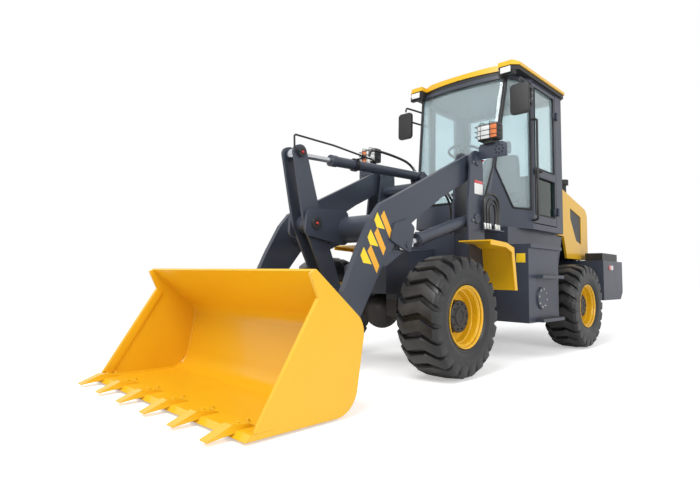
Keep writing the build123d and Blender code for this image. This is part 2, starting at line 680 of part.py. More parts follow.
def link_ear(y):
    """A tall plate in the middle of the bucket's back, beside the tie link's end."""
    points = [(LINK_PIN_X - LINK_EYE_R, LINK_PIN_Z + LINK_EYE_R), (LINK_PIN_X - LINK_EYE_R, LINK_PIN_Z - LINK_EYE_R)]
    points += [(BUCKET_BACK_X + BUCKET_PLATE_T, BUCKET_BACK_Z - 180), (BUCKET_BACK_X + 110, BUCKET_BACK_Z + 80)]
    ear = slab(points, BUCKET_EAR_T, y)
    return ear - crossbar(LINK_PIN_X, LINK_PIN_Z, LOADER_PIN_R + RUN, 2 * BUCKET_EAR_T, y)


def bucket_edge():
    """The cutting blade with its bolted teeth."""
    low = BUCKET_FLOOR_Z
    heel = BUCKET_BLADE_X - BUCKET_BLADE_L + SEAT
    blade = slab([(heel, low), (BUCKET_BLADE_X, low), (BUCKET_BLADE_X - BLADE_T, low + BLADE_T), (heel, low + BLADE_T)],
                 BUCKET_W)
    tip = BUCKET_BLADE_X + TOOTH_REACH
    root = tip - TOOTH_ROOT - TOOTH_REACH / 2
    for i in range(TOOTH_COUNT):
        y = (i - (TOOTH_COUNT - 1) / 2) * TOOTH_PITCH
        tooth = slab([(root, low + BLADE_T), (tip, low + 2), (tip, low + 8), (tip - TOOTH_REACH, low + 2 * BLADE_T),
                      (root + 40, low + 1.6 * BLADE_T)], TOOTH_W, y)
        blade += tooth
    return blade


# Cylinders

def barrel(base, eye, y, sizes, gland_back, eye_r, eye_w, pin_r):
    """A cylinder's tube with its base eye and gland, on the line from base to eye."""
    outer, bore, rod = sizes
    run = hypot(eye[0] - base[0], eye[1] - base[1])
    mouth = run - gland_back
    tube = along(base, eye, outer, y, eye_r * 0.7, mouth)
    tube += along(base, eye, outer + 5, y, mouth - GLAND_L, mouth)
    tube += crossbar(*base, eye_r, eye_w, y)
    tube -= along(base, eye, bore, y, eye_r + 20, mouth - GLAND_L / 2)
    tube -= along(base, eye, rod + SEAT, y, mouth - GLAND_L, mouth + 1)
    return tube - crossbar(*base, pin_r + RUN, 2 * eye_w, y)


def plunger(base, eye, y, sizes, inside, eye_r, eye_w):
    """A cylinder's rod with its piston, a flattened neck and its eye."""
    outer, bore, rod = sizes
    run = hypot(eye[0] - base[0], eye[1] - base[1])
    neck = eye_r + EYE_NECK
    shaft = along(base, eye, rod, y, inside, run - neck)
    shaft += along(base, eye, bore - SEAT, y, inside, inside + PISTON_L)
    half = eye_r * 0.7
    corners = [away(eye, base, neck, half), away(eye, base, 0, half), away(eye, base, 0, -half),
               away(eye, base, neck, -half)]
    return shaft + slab(corners, eye_w, y) + crossbar(*eye, eye_r, eye_w, y)


LIFT_SIZES = (LIFT_BARREL_R, LIFT_BORE_R, LIFT_ROD_R)
TILT_SIZES = (TILT_BARREL_R, TILT_BORE_R, TILT_ROD_R)
LIFT_INSIDE = 110
TILT_INSIDE = 700


def steer_cylinder(side):
    """Barrel and rod of one steering cylinder, lying flat between the two frames."""
    run = hypot(STEER_EYE_X - STEER_BASE_X, STEER_EYE_Y - STEER_BASE_Y)
    turn = degrees(atan2(STEER_EYE_Y - STEER_BASE_Y, STEER_EYE_X - STEER_BASE_X))
    place = Pos(STEER_BASE_X, STEER_BASE_Y, STEER_Z) * Rot(0, 0, turn) * Rot(0, 90, 0)
    mouth = run - STEER_GLAND_BACK
    low = (Align.CENTER, Align.CENTER, Align.MIN)
    tube = Pos(0, 0, STEER_EYE_R * 0.7) * Cylinder(STEER_BARREL_R, mouth - STEER_EYE_R * 0.7, align=low)
    tube -= Pos(0, 0, STEER_EYE_R + 20) * Cylinder(STEER_BORE_R, mouth - STEER_EYE_R - 20 - GLAND_L / 2, align=low)
    tube -= Cylinder(STEER_ROD_R + SEAT, mouth + 1, align=low) & Pos(0, 0, mouth) * Cylinder(STEER_BORE_R, GLAND_L + 2)
    tube = place * tube + upright(STEER_BASE_X, STEER_BASE_Y, STEER_Z - STEER_BASE_GAP + SEAT, STEER_Z + STEER_BASE_GAP - SEAT,
                                  STEER_EYE_R)
    tube -= upright(STEER_BASE_X, STEER_BASE_Y, STEER_Z - 2 * STEER_BASE_GAP, STEER_Z + 2 * STEER_BASE_GAP,
                    STEER_PIN_R + RUN)
    inside = STEER_INSIDE
    rod = Pos(0, 0, inside) * Cylinder(STEER_ROD_R, run - inside, align=low)
    rod += Pos(0, 0, inside) * Cylinder(STEER_BORE_R - SEAT, PISTON_L, align=low)
    eye = STEER_EYE_GAP - HINGE_GAP
    rod = place * rod + upright(STEER_EYE_X, STEER_EYE_Y, STEER_Z - eye, STEER_Z + eye, eye)
    return (tube, rod) if side > 0 else (mirror(tube, Plane.XZ), mirror(rod, Plane.XZ))


# Rear frame

def rear_frame():
    """Hinge plates, front box, rails, cross members and the deck under the cab."""
    yoke = REAR_BOX_X - REAR_BOX_L
    shape = block(yoke, REAR_BOX_X, -REAR_BOX_W / 2, REAR_BOX_W / 2, RAIL_LOW, RAIL_HIGH)
    shape += block(yoke - YOKE_L, yoke, -RAIL_Y - RAIL_T / 2, RAIL_Y + RAIL_T / 2, RAIL_LOW, RAIL_HIGH)
    step = HINGE_LUG_T / 2 + HINGE_GAP
    for z in (HINGE_LOW_Z, HINGE_HIGH_Z):
        shape += upright(0, 0, z - step - HINGE_PLATE_T, z + step + HINGE_PLATE_T, HINGE_PIN_R)
        for low in (z - step - HINGE_PLATE_T, z + step):
            shape += upright(0, 0, low, low + HINGE_PLATE_T, HINGE_EYE_R)
            shape += block(REAR_BOX_X - 20, 0, -HINGE_EYE_R, HINGE_EYE_R, low, low + HINGE_PLATE_T)
    rail = block(WEIGHT_FRONT + SEAT, yoke - YOKE_L, RAIL_Y - RAIL_T / 2, RAIL_Y + RAIL_T / 2, RAIL_LOW, RAIL_HIGH)
    pad_x = AXLE_PAD_L / 2
    rail += block(-AXLE_REACH - pad_x, -AXLE_REACH + pad_x, GIRDER_W / 2 - AXLE_PAD_W, GIRDER_W / 2,
                  AXLE_PAD_TOP + SEAT, RAIL_LOW)
    shape += pair(rail + steer_lug(STEER_BASE_X, STEER_BASE_Y, REAR_BOX_W / 2 - 1, STEER_BASE_GAP, True))
    shape += block(ENGINE_REAR - 25, ENGINE_REAR - 5, -RAIL_Y, RAIL_Y, RAIL_LOW, RAIL_HIGH)
    shape += block(DECK_REAR, DECK_FRONT, -DECK_HALF, DECK_HALF, DECK_Z, DECK_Z + DECK_T)
    for x in (REAR_BOX_X - REAR_BOX_L / 2, DECK_REAR + 60):
        shape += block(x - 40, x + 40, -RAIL_Y - 20, RAIL_Y + 20, RAIL_HIGH - 20, DECK_Z)
    panel = [(DECK_REAR, PANEL_LOW), (PANEL_REAR + 140, PANEL_LOW), (PANEL_REAR, HOOD_STEP_Z - 2 * MOVE)]
    panel += [(HOOD_FRONT, HOOD_STEP_Z - 2 * MOVE), (HOOD_FRONT, DECK_Z + DECK_T), (DECK_REAR, DECK_Z + DECK_T)]
    shape += pair(slab(panel, PANEL_T, PANEL_Y - PANEL_T / 2))
    for x in (DECK_REAR - 60, PANEL_REAR + 190):
        shape += pair(block(x - 40, x + 40, RAIL_Y, PANEL_Y - 1, PANEL_LOW + 8, RAIL_HIGH))
    tray = block(CAB_REAR, DECK_REAR + 1, -RAIL_Y - 60, RAIL_Y + 60, DECK_Z, DECK_Z + DECK_T)
    return shape + tray


def side_boxes():
    """Tank and store boxes under the deck, with their steps and round clean-out covers."""
    box = block(SIDE_BOX_REAR, DECK_FRONT, SIDE_BOX_IN, SIDE_BOX_OUT, SIDE_BOX_LOW, DECK_Z - SEAT)
    for z in (STEP_LOW_Z, STEP_HIGH_Z):
        box += block(STEP_REAR, STEP_FRONT, SIDE_BOX_OUT - 1, STEP_OUT, z, z + STEP_T)
    box += crossbar(PORT_X, PORT_Z, PORT_R, PORT_T, SIDE_BOX_OUT + PORT_T / 2)
    return pair(box)


def cab_plan(z, inset):
    """The cab's outline at a height, moved inwards by inset, as a face."""
    share = (z - CAB_LOW) / (CAB_TOP - CAB_LOW)
    nose_x = CAB_NOSE_LOW_X + share * (CAB_NOSE_TOP_X - CAB_NOSE_LOW_X)
    nose_y = CAB_NOSE_LOW_Y + share * (CAB_NOSE_TOP_Y - CAB_NOSE_LOW_Y)
    bow = ThreePointArc((nose_x, nose_y), (nose_x + CAB_BOW, 0), (nose_x, -nose_y))
    rest = Polyline((nose_x, -nose_y), (CAB_SIDE_FRONT, -CAB_HALF), (CAB_REAR, -CAB_HALF), (CAB_REAR, CAB_HALF),
                    (CAB_SIDE_FRONT, CAB_HALF), (nose_x, nose_y))
    face = make_face(Wire([*bow.edges(), *rest.edges()]))
    if inset:
        face = offset(face, -inset, kind=Kind.INTERSECTION)
    return Pos(0, 0, z) * face


def cab_body(inset, low=CAB_LOW, top=CAB_TOP):
    """The cab's outer form, moved inwards by inset."""
    return loft([cab_plan(low, inset), cab_plan(top, inset)], ruled=True)


def nose_corner(z):
    """Where the windscreen meets the corner pane at a height."""
    share = (z - CAB_LOW) / (CAB_TOP - CAB_LOW)
    return (CAB_NOSE_LOW_X + share * (CAB_NOSE_TOP_X - CAB_NOSE_LOW_X),
            CAB_NOSE_LOW_Y + share * (CAB_NOSE_TOP_Y - CAB_NOSE_LOW_Y))


def window_cutters(shrink):
    """Bodies that cut each window out of the walls, or the panes out of a thin layer."""
    top = HEAD_Z - shrink
    knee = PANE_KNEE_Z
    edge = SEAM + shrink
    top_y = nose_corner(top)[1] - edge
    knee_y = nose_corner(knee)[1] - edge
    low_y = SCREEN_LOW_HALF - shrink
    screen = [(-low_y, SCREEN_LOW + shrink), (low_y, SCREEN_LOW + shrink), (knee_y, knee), (top_y, top),
              (-top_y, top), (-knee_y, knee)]
    plane = Plane(origin=(CAB_SIDE_FRONT + CAB_WALL, 0, 0), x_dir=(0, 1, 0), z_dir=(1, 0, 0))
    front = make_face(Polyline(*screen, close=True))
    cutters = {"front": extrude(plane * front, CAB_NOSE_LOW_X - CAB_SIDE_FRONT + CAB_BOW)}
    turn = degrees(atan2(CAB_NOSE_LOW_Y - CAB_HALF, CAB_NOSE_LOW_X - CAB_SIDE_FRONT))
    low = SILL_Z + shrink
    runs = [hypot(nose_corner(z)[0] - CAB_SIDE_FRONT, nose_corner(z)[1] - CAB_HALF) - edge for z in (knee, top)]
    pane = [(POST / 2 + shrink, low), (PANE_KNEE_RUN - shrink, low), (runs[0], knee + shrink), (runs[1], top),
            (POST / 2 + shrink, top)]
    skew = Pos(CAB_SIDE_FRONT, CAB_HALF, 0) * Rot(0, 0, turn) * Rot(90, 0, 0)
    corner = skew * extrude(make_face(Polyline(*pane, close=True)), 1.5 * CAB_WALL, both=True)
    cutters["left corner"] = corner
    cutters["right corner"] = mirror(corner, Plane.XZ)
    inner = CAB_HALF - 2 * CAB_WALL
    edge = POST + shrink
    cutters["right"] = block(DOOR_REAR + edge, DOOR_FRONT - edge, -CAB_HALF - 1, -inner, low, top)
    rear_y = CAB_HALF - 2 * edge
    cutters["rear"] = block(CAB_REAR - 1, CAB_REAR + 2 * CAB_WALL, -rear_y, rear_y, REAR_SILL_Z + shrink, top)
    return cutters


def cab_shell():
    """The cab's welded frame with its floor and base, open at the windows, the door and the roof."""
    shape = cab_body(0) - cab_body(CAB_WALL, CAB_LOW + CAB_WALL, CAB_TOP + 1)
    for cutter in window_cutters(0).values():
        shape -= cutter
    shape -= block(DOOR_REAR - DOOR_GAP, DOOR_FRONT + DOOR_GAP, CAB_HALF - CAB_WALL - 1, CAB_HALF + 1,
                   DOOR_LOW - DOOR_GAP, DOOR_TOP + DOOR_GAP)
    shape += block(CAB_REAR, CAB_BASE_FRONT, -CAB_BASE_HALF, CAB_BASE_HALF, DECK_Z + DECK_T + SEAT, CAB_LOW + 1)
    x = DOOR_REAR - DOOR_GAP
    y = CAB_HALF + DOOR_PIN_OUT
    for z in DOOR_HINGES:
        shape += upright(x, y, z - DOOR_EYE_H / 2 - DOOR_EYE_R, z + DOOR_EYE_H / 2 + DOOR_EYE_R, DOOR_PIN_R)
        for low in (z - DOOR_EYE_H / 2 - DOOR_EYE_R, z + DOOR_EYE_H / 2 + SEAT):
            high = low + DOOR_EYE_R - SEAT
            shape += upright(x, y, low, high, DOOR_EYE_R)
            shape += block(x - 2 * DOOR_EYE_R, x, CAB_HALF - 1, y, low, high)
    return shape - cab_seams()


def cab_seams():
    """Fine gaps where the cab's floor, rear wall, side walls and front are welded together."""
    floor = CAB_LOW + CAB_WALL
    front = CAB_NOSE_LOW_X + CAB_BOW + 1
    gaps = block(CAB_REAR - 1, front, -CAB_HALF - 1, CAB_HALF + 1, floor, floor + SEAT)
    for x in (CAB_REAR + CAB_WALL, CAB_SIDE_FRONT - SEAT):
        gaps += block(x, x + SEAT, -CAB_HALF - 1, CAB_HALF + 1, floor, CAB_TOP + 1)
    return gaps


def cab_glass():
    """Five fixed panes, each in its window."""
    middle = (CAB_WALL - GLASS_T) / 2
    layer = cab_body(middle) - cab_body(middle + GLASS_T)
    screen = window_cutters(-SEAT)["front"]
    shape = None
    for name, cutter in window_cutters(SEAT).items():
        pane = layer & cutter
        if "corner" in name:
            pane -= screen
        shape = shape + pane if shape else pane
    return shape


def roof_plan(margin):
    """The roof from above, its front edge bowed between the two lamp pods."""
    front = ROOF_FRONT - margin
    half = ROOF_HALF - margin
    bow = ThreePointArc((front - POD_D, -ROOF_BROW), (front - POD_D / 4, 0), (front - POD_D, ROOF_BROW))
    rest = Polyline((front - POD_D, ROOF_BROW), (front, ROOF_BROW), (front, half - ROOF_CORNER_R),
                    (front - ROOF_CORNER_R, half), (ROOF_REAR + margin + ROOF_CORNER_R, half),
                    (ROOF_REAR + margin, half - ROOF_CORNER_R), (ROOF_REAR + margin, -half + ROOF_CORNER_R),
                    (ROOF_REAR + margin + ROOF_CORNER_R, -half), (front - ROOF_CORNER_R, -half),
                    (front, -half + ROOF_CORNER_R), (front, -ROOF_BROW), (front - POD_D, -ROOF_BROW))
    return make_face(Wire([*bow.edges(), *rest.edges()]))


def roof():
    """A pressed roof, raised between its sides and thicker over the two front corners."""
    low = CAB_TOP + SEAT + ROOF_LINING_T + SEAT
    high = low + ROOF_T
    top = [(-ROOF_HALF, low), (ROOF_HALF, low), (ROOF_HALF, high - ROOF_T / 3), (ROOF_HALF - ROOF_T, high),
           (ROOF_BROW, high), (ROOF_BEND, high + ROOF_CROWN), (-ROOF_BEND, high + ROOF_CROWN), (-ROOF_BROW, high),
           (-ROOF_HALF + ROOF_T, high), (-ROOF_HALF, high - ROOF_T / 3)]
    plane = Plane(origin=(ROOF_REAR - 1, 0, 0), x_dir=(0, 1, 0), z_dir=(1, 0, 0))
    section = extrude(plane * make_face(Polyline(*top, close=True)), ROOF_FRONT - ROOF_REAR + 2)
    side = [(ROOF_REAR, low), (ROOF_FRONT, low), (ROOF_FRONT, high), (ROOF_FRONT - 2 * POD_D, high + ROOF_CROWN),
            (ROOF_REAR + 2 * POD_D, high + ROOF_CROWN), (ROOF_REAR, high - ROOF_T / 3)]
    form = section & slab(side, 2 * ROOF_HALF + 2)
    return form & (Pos(0, 0, low) * extrude(roof_plan(0), ROOF_T + ROOF_CROWN + 1))


def roof_lining():
    """The dark lower half of the roof with the housings of its front lamps."""
    low = CAB_TOP + SEAT
    shape = Pos(0, 0, low) * extrude(roof_plan(ROOF_T / 4), ROOF_LINING_T)
    half = POD_W / 2
    front = ROOF_FRONT - ROOF_T / 4
    pod = block(front - POD_D / 2, front, ROOF_LAMP_Y - half, ROOF_LAMP_Y + half, low + ROOF_LINING_T - POD_H, low + 1)
    return shape + pair(pod)


def roof_lamps():
    """Square work lamps on the roof's front corners."""
    z = CAB_TOP + SEAT + ROOF_LINING_T - POD_H / 2
    x = ROOF_FRONT - ROOF_T / 4 + SEAT
    half = ROOF_LAMP_W / 2
    return pair(block(x, x + ROOF_LAMP_D, ROOF_LAMP_Y - half, ROOF_LAMP_Y + half, z - ROOF_LAMP_H / 2, z + ROOF_LAMP_H / 2))


def door():
    """The door's frame with its middle rail, its two windows open."""
    inner = CAB_HALF - CAB_WALL
    leaf = block(DOOR_REAR, DOOR_FRONT, inner, CAB_HALF, DOOR_LOW, DOOR_TOP)
    for low, top in door_openings(0):
        leaf -= block(DOOR_REAR + DOOR_FRAME, DOOR_FRONT - DOOR_FRAME, inner - 1, CAB_HALF + 1, low, top)
    x = DOOR_REAR - DOOR_GAP
    y = CAB_HALF + DOOR_PIN_OUT
    half = DOOR_EYE_H / 2
    for z in DOOR_HINGES:
        leaf += block(x, x + DOOR_STRAP_L, CAB_HALF - 1, CAB_HALF + DOOR_STRAP_T, z - half, z + half)
        leaf += upright(x, y, z - half, z + half, DOOR_EYE_R)
        leaf -= upright(x, y, z - half, z + half, DOOR_PIN_R + RUN)
    return leaf


def door_openings(shrink):
    """Heights of the door's lower and upper windows."""
    rail = DOOR_RAIL_H / 2
    return [(DOOR_LOW + 2 * DOOR_FRAME + shrink, DOOR_RAIL_Z - rail - shrink),
            (DOOR_RAIL_Z + rail + shrink, DOOR_TOP - DOOR_FRAME - shrink)]


def door_glass():
    """The door's two panes."""
    y = CAB_HALF - CAB_WALL / 2
    edge = DOOR_FRAME + SEAT
    panes = [block(DOOR_REAR + edge, DOOR_FRONT - edge, y - GLASS_T / 2, y + GLASS_T / 2, low, top)
             for low, top in door_openings(SEAT)]
    return panes[0] + panes[1]


def mirrors():
    """Rear-view mirrors, each on two tubes from a plate on the door post."""
    board = block(MIRROR_X - MIRROR_T / 2, MIRROR_X + MIRROR_T / 2, MIRROR_Y - MIRROR_W / 2, MIRROR_Y + MIRROR_W / 2,
                  MIRROR_Z - MIRROR_H / 2, MIRROR_Z + MIRROR_H / 2)
    top = MIRROR_Z + MIRROR_H / 2
    foot_x = CAB_SIDE_FRONT - MOVE
    foot_y = CAB_HALF + SEAT
    shape = board + block(foot_x, foot_x + MIRROR_FOOT_W, foot_y, foot_y + MIRROR_TUBE_R, top - MIRROR_FOOT_H, top + 90)
    start_x = foot_x + MIRROR_FOOT_W / 2
    start_y = foot_y + MIRROR_TUBE_R
    run = hypot(MIRROR_X - start_x, MIRROR_Y - start_y)
    turn = degrees(atan2(MIRROR_Y - start_y, MIRROR_X - start_x))
    for z in (top + 70, top - MIRROR_FOOT_H + 30):
        bar = Pos(start_x, start_y, z) * Rot(0, 0, turn) * Rot(0, 90, 0)
        shape += bar * Cylinder(MIRROR_TUBE_R, run, align=(Align.CENTER, Align.CENTER, Align.MIN))
    shape += upright(MIRROR_X, MIRROR_Y, top - 1, top + 70, MIRROR_TUBE_R)
    shape += Pos(MIRROR_X, MIRROR_Y, top + 70) * Sphere(MIRROR_TUBE_R)
    return pair(shape)


def seat_base():
    """The seat's pedestal."""
    floor = CAB_LOW + CAB_WALL + SEAT
    half = PEDESTAL_W / 2
    return block(SEAT_X - half, SEAT_X + half, -half, half, floor, SEAT_Z - SEAT_PAD_T - SEAT)


def seat_pad():
    """Cushion, backrest and headrest."""
    half = SEAT_W / 2
    rear = SEAT_X - SEAT_L / 2
    pad = block(rear, rear + SEAT_L, -half, half, SEAT_Z - SEAT_PAD_T, SEAT_Z)
    pad += block(rear, rear + SEAT_BACK_T, -half, half, SEAT_Z - 1, SEAT_Z + SEAT_BACK_H)
    top = SEAT_Z + SEAT_BACK_H
    return pad + block(rear, rear + SEAT_BACK_T, -HEADREST_W / 2, HEADREST_W / 2, top - 1, top + HEADREST_H)


def steering_column():
    """The console and the steering wheel."""
    floor = CAB_LOW + CAB_WALL + SEAT
    foot = (COLUMN_FOOT_X, floor + COLUMN_R / 2)
    head = (WHEEL_X, WHEEL_Z)
    tilt = degrees(atan2(head[1] - foot[1], head[0] - foot[0]))
    post = along(foot, head, COLUMN_R, 0)
    post += block(COLUMN_FOOT_X - 3 * COLUMN_R, COLUMN_FOOT_X + COLUMN_R, -2 * COLUMN_R, 2 * COLUMN_R, floor, floor + 60)
    ring = Torus(WHEEL_R, WHEEL_RIM_R)
    for turn in (0, 120, 240):
        spoke = Rot(0, 0, turn) * Pos(WHEEL_R / 2, 0, 0) * Box(WHEEL_R, 24, 12)
        ring += spoke
    return post + Pos(WHEEL_X, 0, WHEEL_Z) * Rot(0, 90 - tilt, 0) * ring


def engine():
    """The engine as one plain block between the rails."""
    return block(ENGINE_REAR, ENGINE_FRONT, -ENGINE_HALF, ENGINE_HALF, ENGINE_LOW, ENGINE_TOP)


def hood_outline(inset):
    """The hood seen from the side."""
    open_by = 1 if inset else 0
    return [(HOOD_STEP_X - HOOD_STEP_L, HOOD_LOW - open_by), (HOOD_REAR + inset, HOOD_LOW - open_by),
            (HOOD_REAR + inset, HOOD_REAR_Z - inset), (HOOD_FRONT + open_by, HOOD_FRONT_Z - inset),
            (HOOD_FRONT + open_by, HOOD_STEP_Z - open_by), (HOOD_STEP_X + open_by, HOOD_STEP_Z - open_by)]


def hood():
    """The engine hood, open below and in front, with a vent in each side and a grille opening behind."""
    corner = [0, 0, HOOD_NOSE_R, 0, 0, 0]
    outer = make_face(FilletPolyline(*hood_outline(0), radius=corner, close=True))
    inner_corner = [0, 0, HOOD_NOSE_R - HOOD_WALL, 0, 0, 0]
    inner = make_face(FilletPolyline(*hood_outline(HOOD_WALL), radius=inner_corner, close=True))
    shape = Rot(90, 0, 0) * extrude(outer, HOOD_HALF, both=True)
    shape -= Rot(90, 0, 0) * extrude(inner, HOOD_HALF - HOOD_WALL, both=True)
    shape -= slab(vent_outline(0), 2 * HOOD_HALF + 2)
    grille_half = HOOD_HALF - 90
    shape -= block(HOOD_REAR - 1, HOOD_REAR + HOOD_WALL + 1, -grille_half, grille_half, HOOD_LOW + 120, HOOD_REAR_Z - 170)
    eye = crossbar(HOOD_PIN_X, HOOD_PIN_Z, HOOD_EYE_R, HOOD_EYE_W, HOOD_EYE_Y)
    eye += block(HOOD_PIN_X, HOOD_REAR + 1, HOOD_EYE_Y - HOOD_EYE_W / 2, HOOD_EYE_Y + HOOD_EYE_W / 2,
                 HOOD_PIN_Z - HOOD_EYE_R, HOOD_PIN_Z + HOOD_EYE_R)
    shape += pair(eye - crossbar(HOOD_PIN_X, HOOD_PIN_Z, HOOD_PIN_R + RUN, 2 * HOOD_EYE_W, HOOD_EYE_Y))
    return shape


def vent_outline(shrink):
    """The side vent, with its slanted front edge."""
    return [(VENT_REAR + 170 - shrink, VENT_LOW + 40 + shrink), (VENT_REAR + shrink, VENT_LOW + shrink),
            (VENT_REAR + shrink, VENT_TOP_REAR - shrink), (VENT_FRONT - shrink, VENT_TOP_FRONT - shrink),
            (VENT_FRONT - shrink, VENT_TOP_FRONT - 130 + shrink)]


def exhaust():
    """The exhaust pipe with its cap, on the hood."""
    slope = (HOOD_REAR_Z - HOOD_FRONT_Z) / (HOOD_REAR - HOOD_FRONT)
    foot = HOOD_FRONT_Z + (PIPE_X - HOOD_FRONT) * slope
    stem = upright(PIPE_X, PIPE_Y, foot - HOOD_WALL / 2, PIPE_TOP - PIPE_CAP_H, PIPE_R)
    stem += upright(PIPE_X, PIPE_Y, PIPE_TOP - PIPE_CAP_H - 1, PIPE_TOP, PIPE_CAP_R)
    above = [(HOOD_FRONT, HOOD_FRONT_Z + SEAT), (HOOD_REAR, HOOD_REAR_Z + SEAT), (HOOD_REAR, PIPE_TOP + 1),
             (HOOD_FRONT, PIPE_TOP + 1)]
    return stem & slab(above, 2 * HOOD_HALF)


def hood_grilles():
    """Mesh panels in the side vents and slats across the rear opening."""
    y = HOOD_HALF - HOOD_WALL / 2
    shape = pair(slab(vent_outline(SEAT), HOOD_WALL / 3, y))
    half = HOOD_HALF - 90 - SEAT
    x = HOOD_REAR + HOOD_WALL / 2
    return shape + block(x - 5, x + 5, -half, half, HOOD_LOW + 120 + SEAT, HOOD_REAR_Z - 170 - SEAT)


def radiator():
    """The radiator, standing on the counterweight inside the hood's rear."""
    return block(RADIATOR_REAR, RADIATOR_REAR + RADIATOR_T, -RADIATOR_HALF, RADIATOR_HALF, WEIGHT_TOP + SEAT, RADIATOR_TOP)


def counterweight():
    """The cast tail weight, with the towing jaw in its back."""
    shape = block(WEIGHT_REAR, WEIGHT_FRONT, -WEIGHT_HALF, WEIGHT_HALF, WEIGHT_LOW, WEIGHT_TOP)
    shape = chamfer(shape.edges().filter_by(Axis.Y).group_by(Axis.X)[0].group_by(Axis.Z)[0], WEIGHT_CHAMFER)
    shape -= block(WEIGHT_REAR - 1, WEIGHT_REAR + HITCH_D, -HITCH_W / 2, HITCH_W / 2, HITCH_Z, HITCH_Z + HITCH_H)
    span = HOOD_EYE_W + 2 * (HOOD_EAR_T + 2)
    ears = crossbar(HOOD_PIN_X, HOOD_PIN_Z, HOOD_PIN_R, span, HOOD_EYE_Y)
    for y in (HOOD_EYE_Y - (span - HOOD_EAR_T) / 2, HOOD_EYE_Y + (span - HOOD_EAR_T) / 2):
        ears += crossbar(HOOD_PIN_X, HOOD_PIN_Z, HOOD_EYE_R, HOOD_EAR_T, y)
        ears += block(HOOD_PIN_X - HOOD_EYE_R, HOOD_PIN_X + HOOD_EYE_R, y - HOOD_EAR_T / 2, y + HOOD_EAR_T / 2,
                      WEIGHT_TOP - 1, HOOD_PIN_Z)
    shape += pair(ears)
    hole = upright(WEIGHT_REAR + HITCH_D / 2, 0, WEIGHT_LOW - 1, WEIGHT_TOP + 1, HITCH_R)
    return shape - hole


def toolboxes():
    """Steel boxes on the counterweight, one each side of the hood."""
    return pair(block(REAR_TOOLBOX_REAR, REAR_TOOLBOX_FRONT, REAR_TOOLBOX_IN, REAR_TOOLBOX_OUT,
                      WEIGHT_TOP + SEAT, REAR_BOX_TOP))


# Assembly

def wheel_places():
    """Name, place and side of each wheel."""
    half = TRACK / 2
    return [("fl", AXLE_REACH, half, 1), ("fr", AXLE_REACH, -half, -1),
            ("rl", -AXLE_REACH, half, 1), ("rr", -AXLE_REACH, -half, -1)]


def all_parts():
    """Every piece by name, about the frames' hinge."""
    parts = {"front_frame": front_frame(), "front_axle": Pos(AXLE_REACH, 0, WHEEL_Z0) * axle(),
             "rear_axle": Pos(-AXLE_REACH, 0, WHEEL_Z0) * axle(), "front_guards": front_guards(),
             "headlamps": headlamps(), "lift_arms": lift_arms(), "rocker": rocker(), "tie_link": tie_link(),
             "bucket": bucket(), "bucket_edge": bucket_edge()}
    pin_w = ROCKER_GAP + 2 * (ROCKER_T + MOVE + BRACKET_T)
    parts["rocker_pin"] = crossbar(ROCKER_X, ROCKER_Z, LOADER_PIN_R, pin_w)
    parts["link_pin"] = crossbar(LINK_PIN_X, LINK_PIN_Z, LOADER_PIN_R, ROCKER_GAP + 2 * BUCKET_EAR_T)
    hinge_w = ARM_T + 2 * (MOVE + BUCKET_EAR_T)
    parts["bucket_pins"] = pair(crossbar(BUCKET_PIN_X, BUCKET_PIN_Z, LOADER_PIN_R, hinge_w, ARM_Y))
    lift = barrel(LIFT_BASE, LIFT_EYE, ARM_Y, LIFT_SIZES, LIFT_GLAND_BACK, LIFT_EYE_R, LIFT_BASE_W, LOADER_PIN_R)
    parts["lift_barrels"] = pair(lift)
    parts["lift_rods"] = pair(plunger(LIFT_BASE, LIFT_EYE, ARM_Y, LIFT_SIZES, LIFT_INSIDE, LIFT_EYE_R, LIFT_EYE_W))
    parts["tilt_barrel"] = barrel(TILT_BASE, ROCKER_TOP, 0, TILT_SIZES, TILT_GLAND_BACK, TILT_EYE_R, TILT_BASE_W,
                                  LOADER_PIN_R)
    parts["tilt_rod"] = plunger(TILT_BASE, ROCKER_TOP, 0, TILT_SIZES, TILT_INSIDE, TILT_EYE_R, TILT_EYE_W)
    for name, side in (("left", 1), ("right", -1)):
        parts["steer_barrel_" + name], parts["steer_rod_" + name] = steer_cylinder(side)
    parts.update({"rear_frame": rear_frame(), "side_boxes": side_boxes(), "cab_shell": cab_shell(),
                  "cab_glass": cab_glass(), "cab_roof": roof(), "roof_lining": roof_lining(), "roof_lamps": roof_lamps(), "door": door(),
                  "door_glass": door_glass(), "mirrors": mirrors(), "seat_base": seat_base(),
                  "seat_pad": seat_pad(), "steering_column": steering_column(), "engine_block": engine(),
                  "hood": hood(), "hood_grilles": hood_grilles(), "exhaust": exhaust(), "radiator": radiator(),
                  "counterweight": counterweight(), "rear_toolboxes": toolboxes()})
    rubber = tyre()
    steel = rim()
    for name, x, y, side in wheel_places():
        turned = Rot(0, 0, 0 if side > 0 else 180)
        parts["tyre_" + name] = Pos(x, y, WHEEL_Z0) * turned * rubber
        parts["rim_" + name] = Pos(x, y, WHEEL_Z0) * turned * steel
    return parts


os.makedirs("parts", exist_ok=True)
for name, shape in all_parts().items():
    placed = Pos(-MIDDLE, 0, 0) * shape
    export_step(placed, "parts/" + name + ".step")
    print(name, len(placed.solids()), "solids")
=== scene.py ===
from math import cos, hypot, pi, radians, sin, tan

import bmesh
import bpy
from mathutils import Matrix, Vector


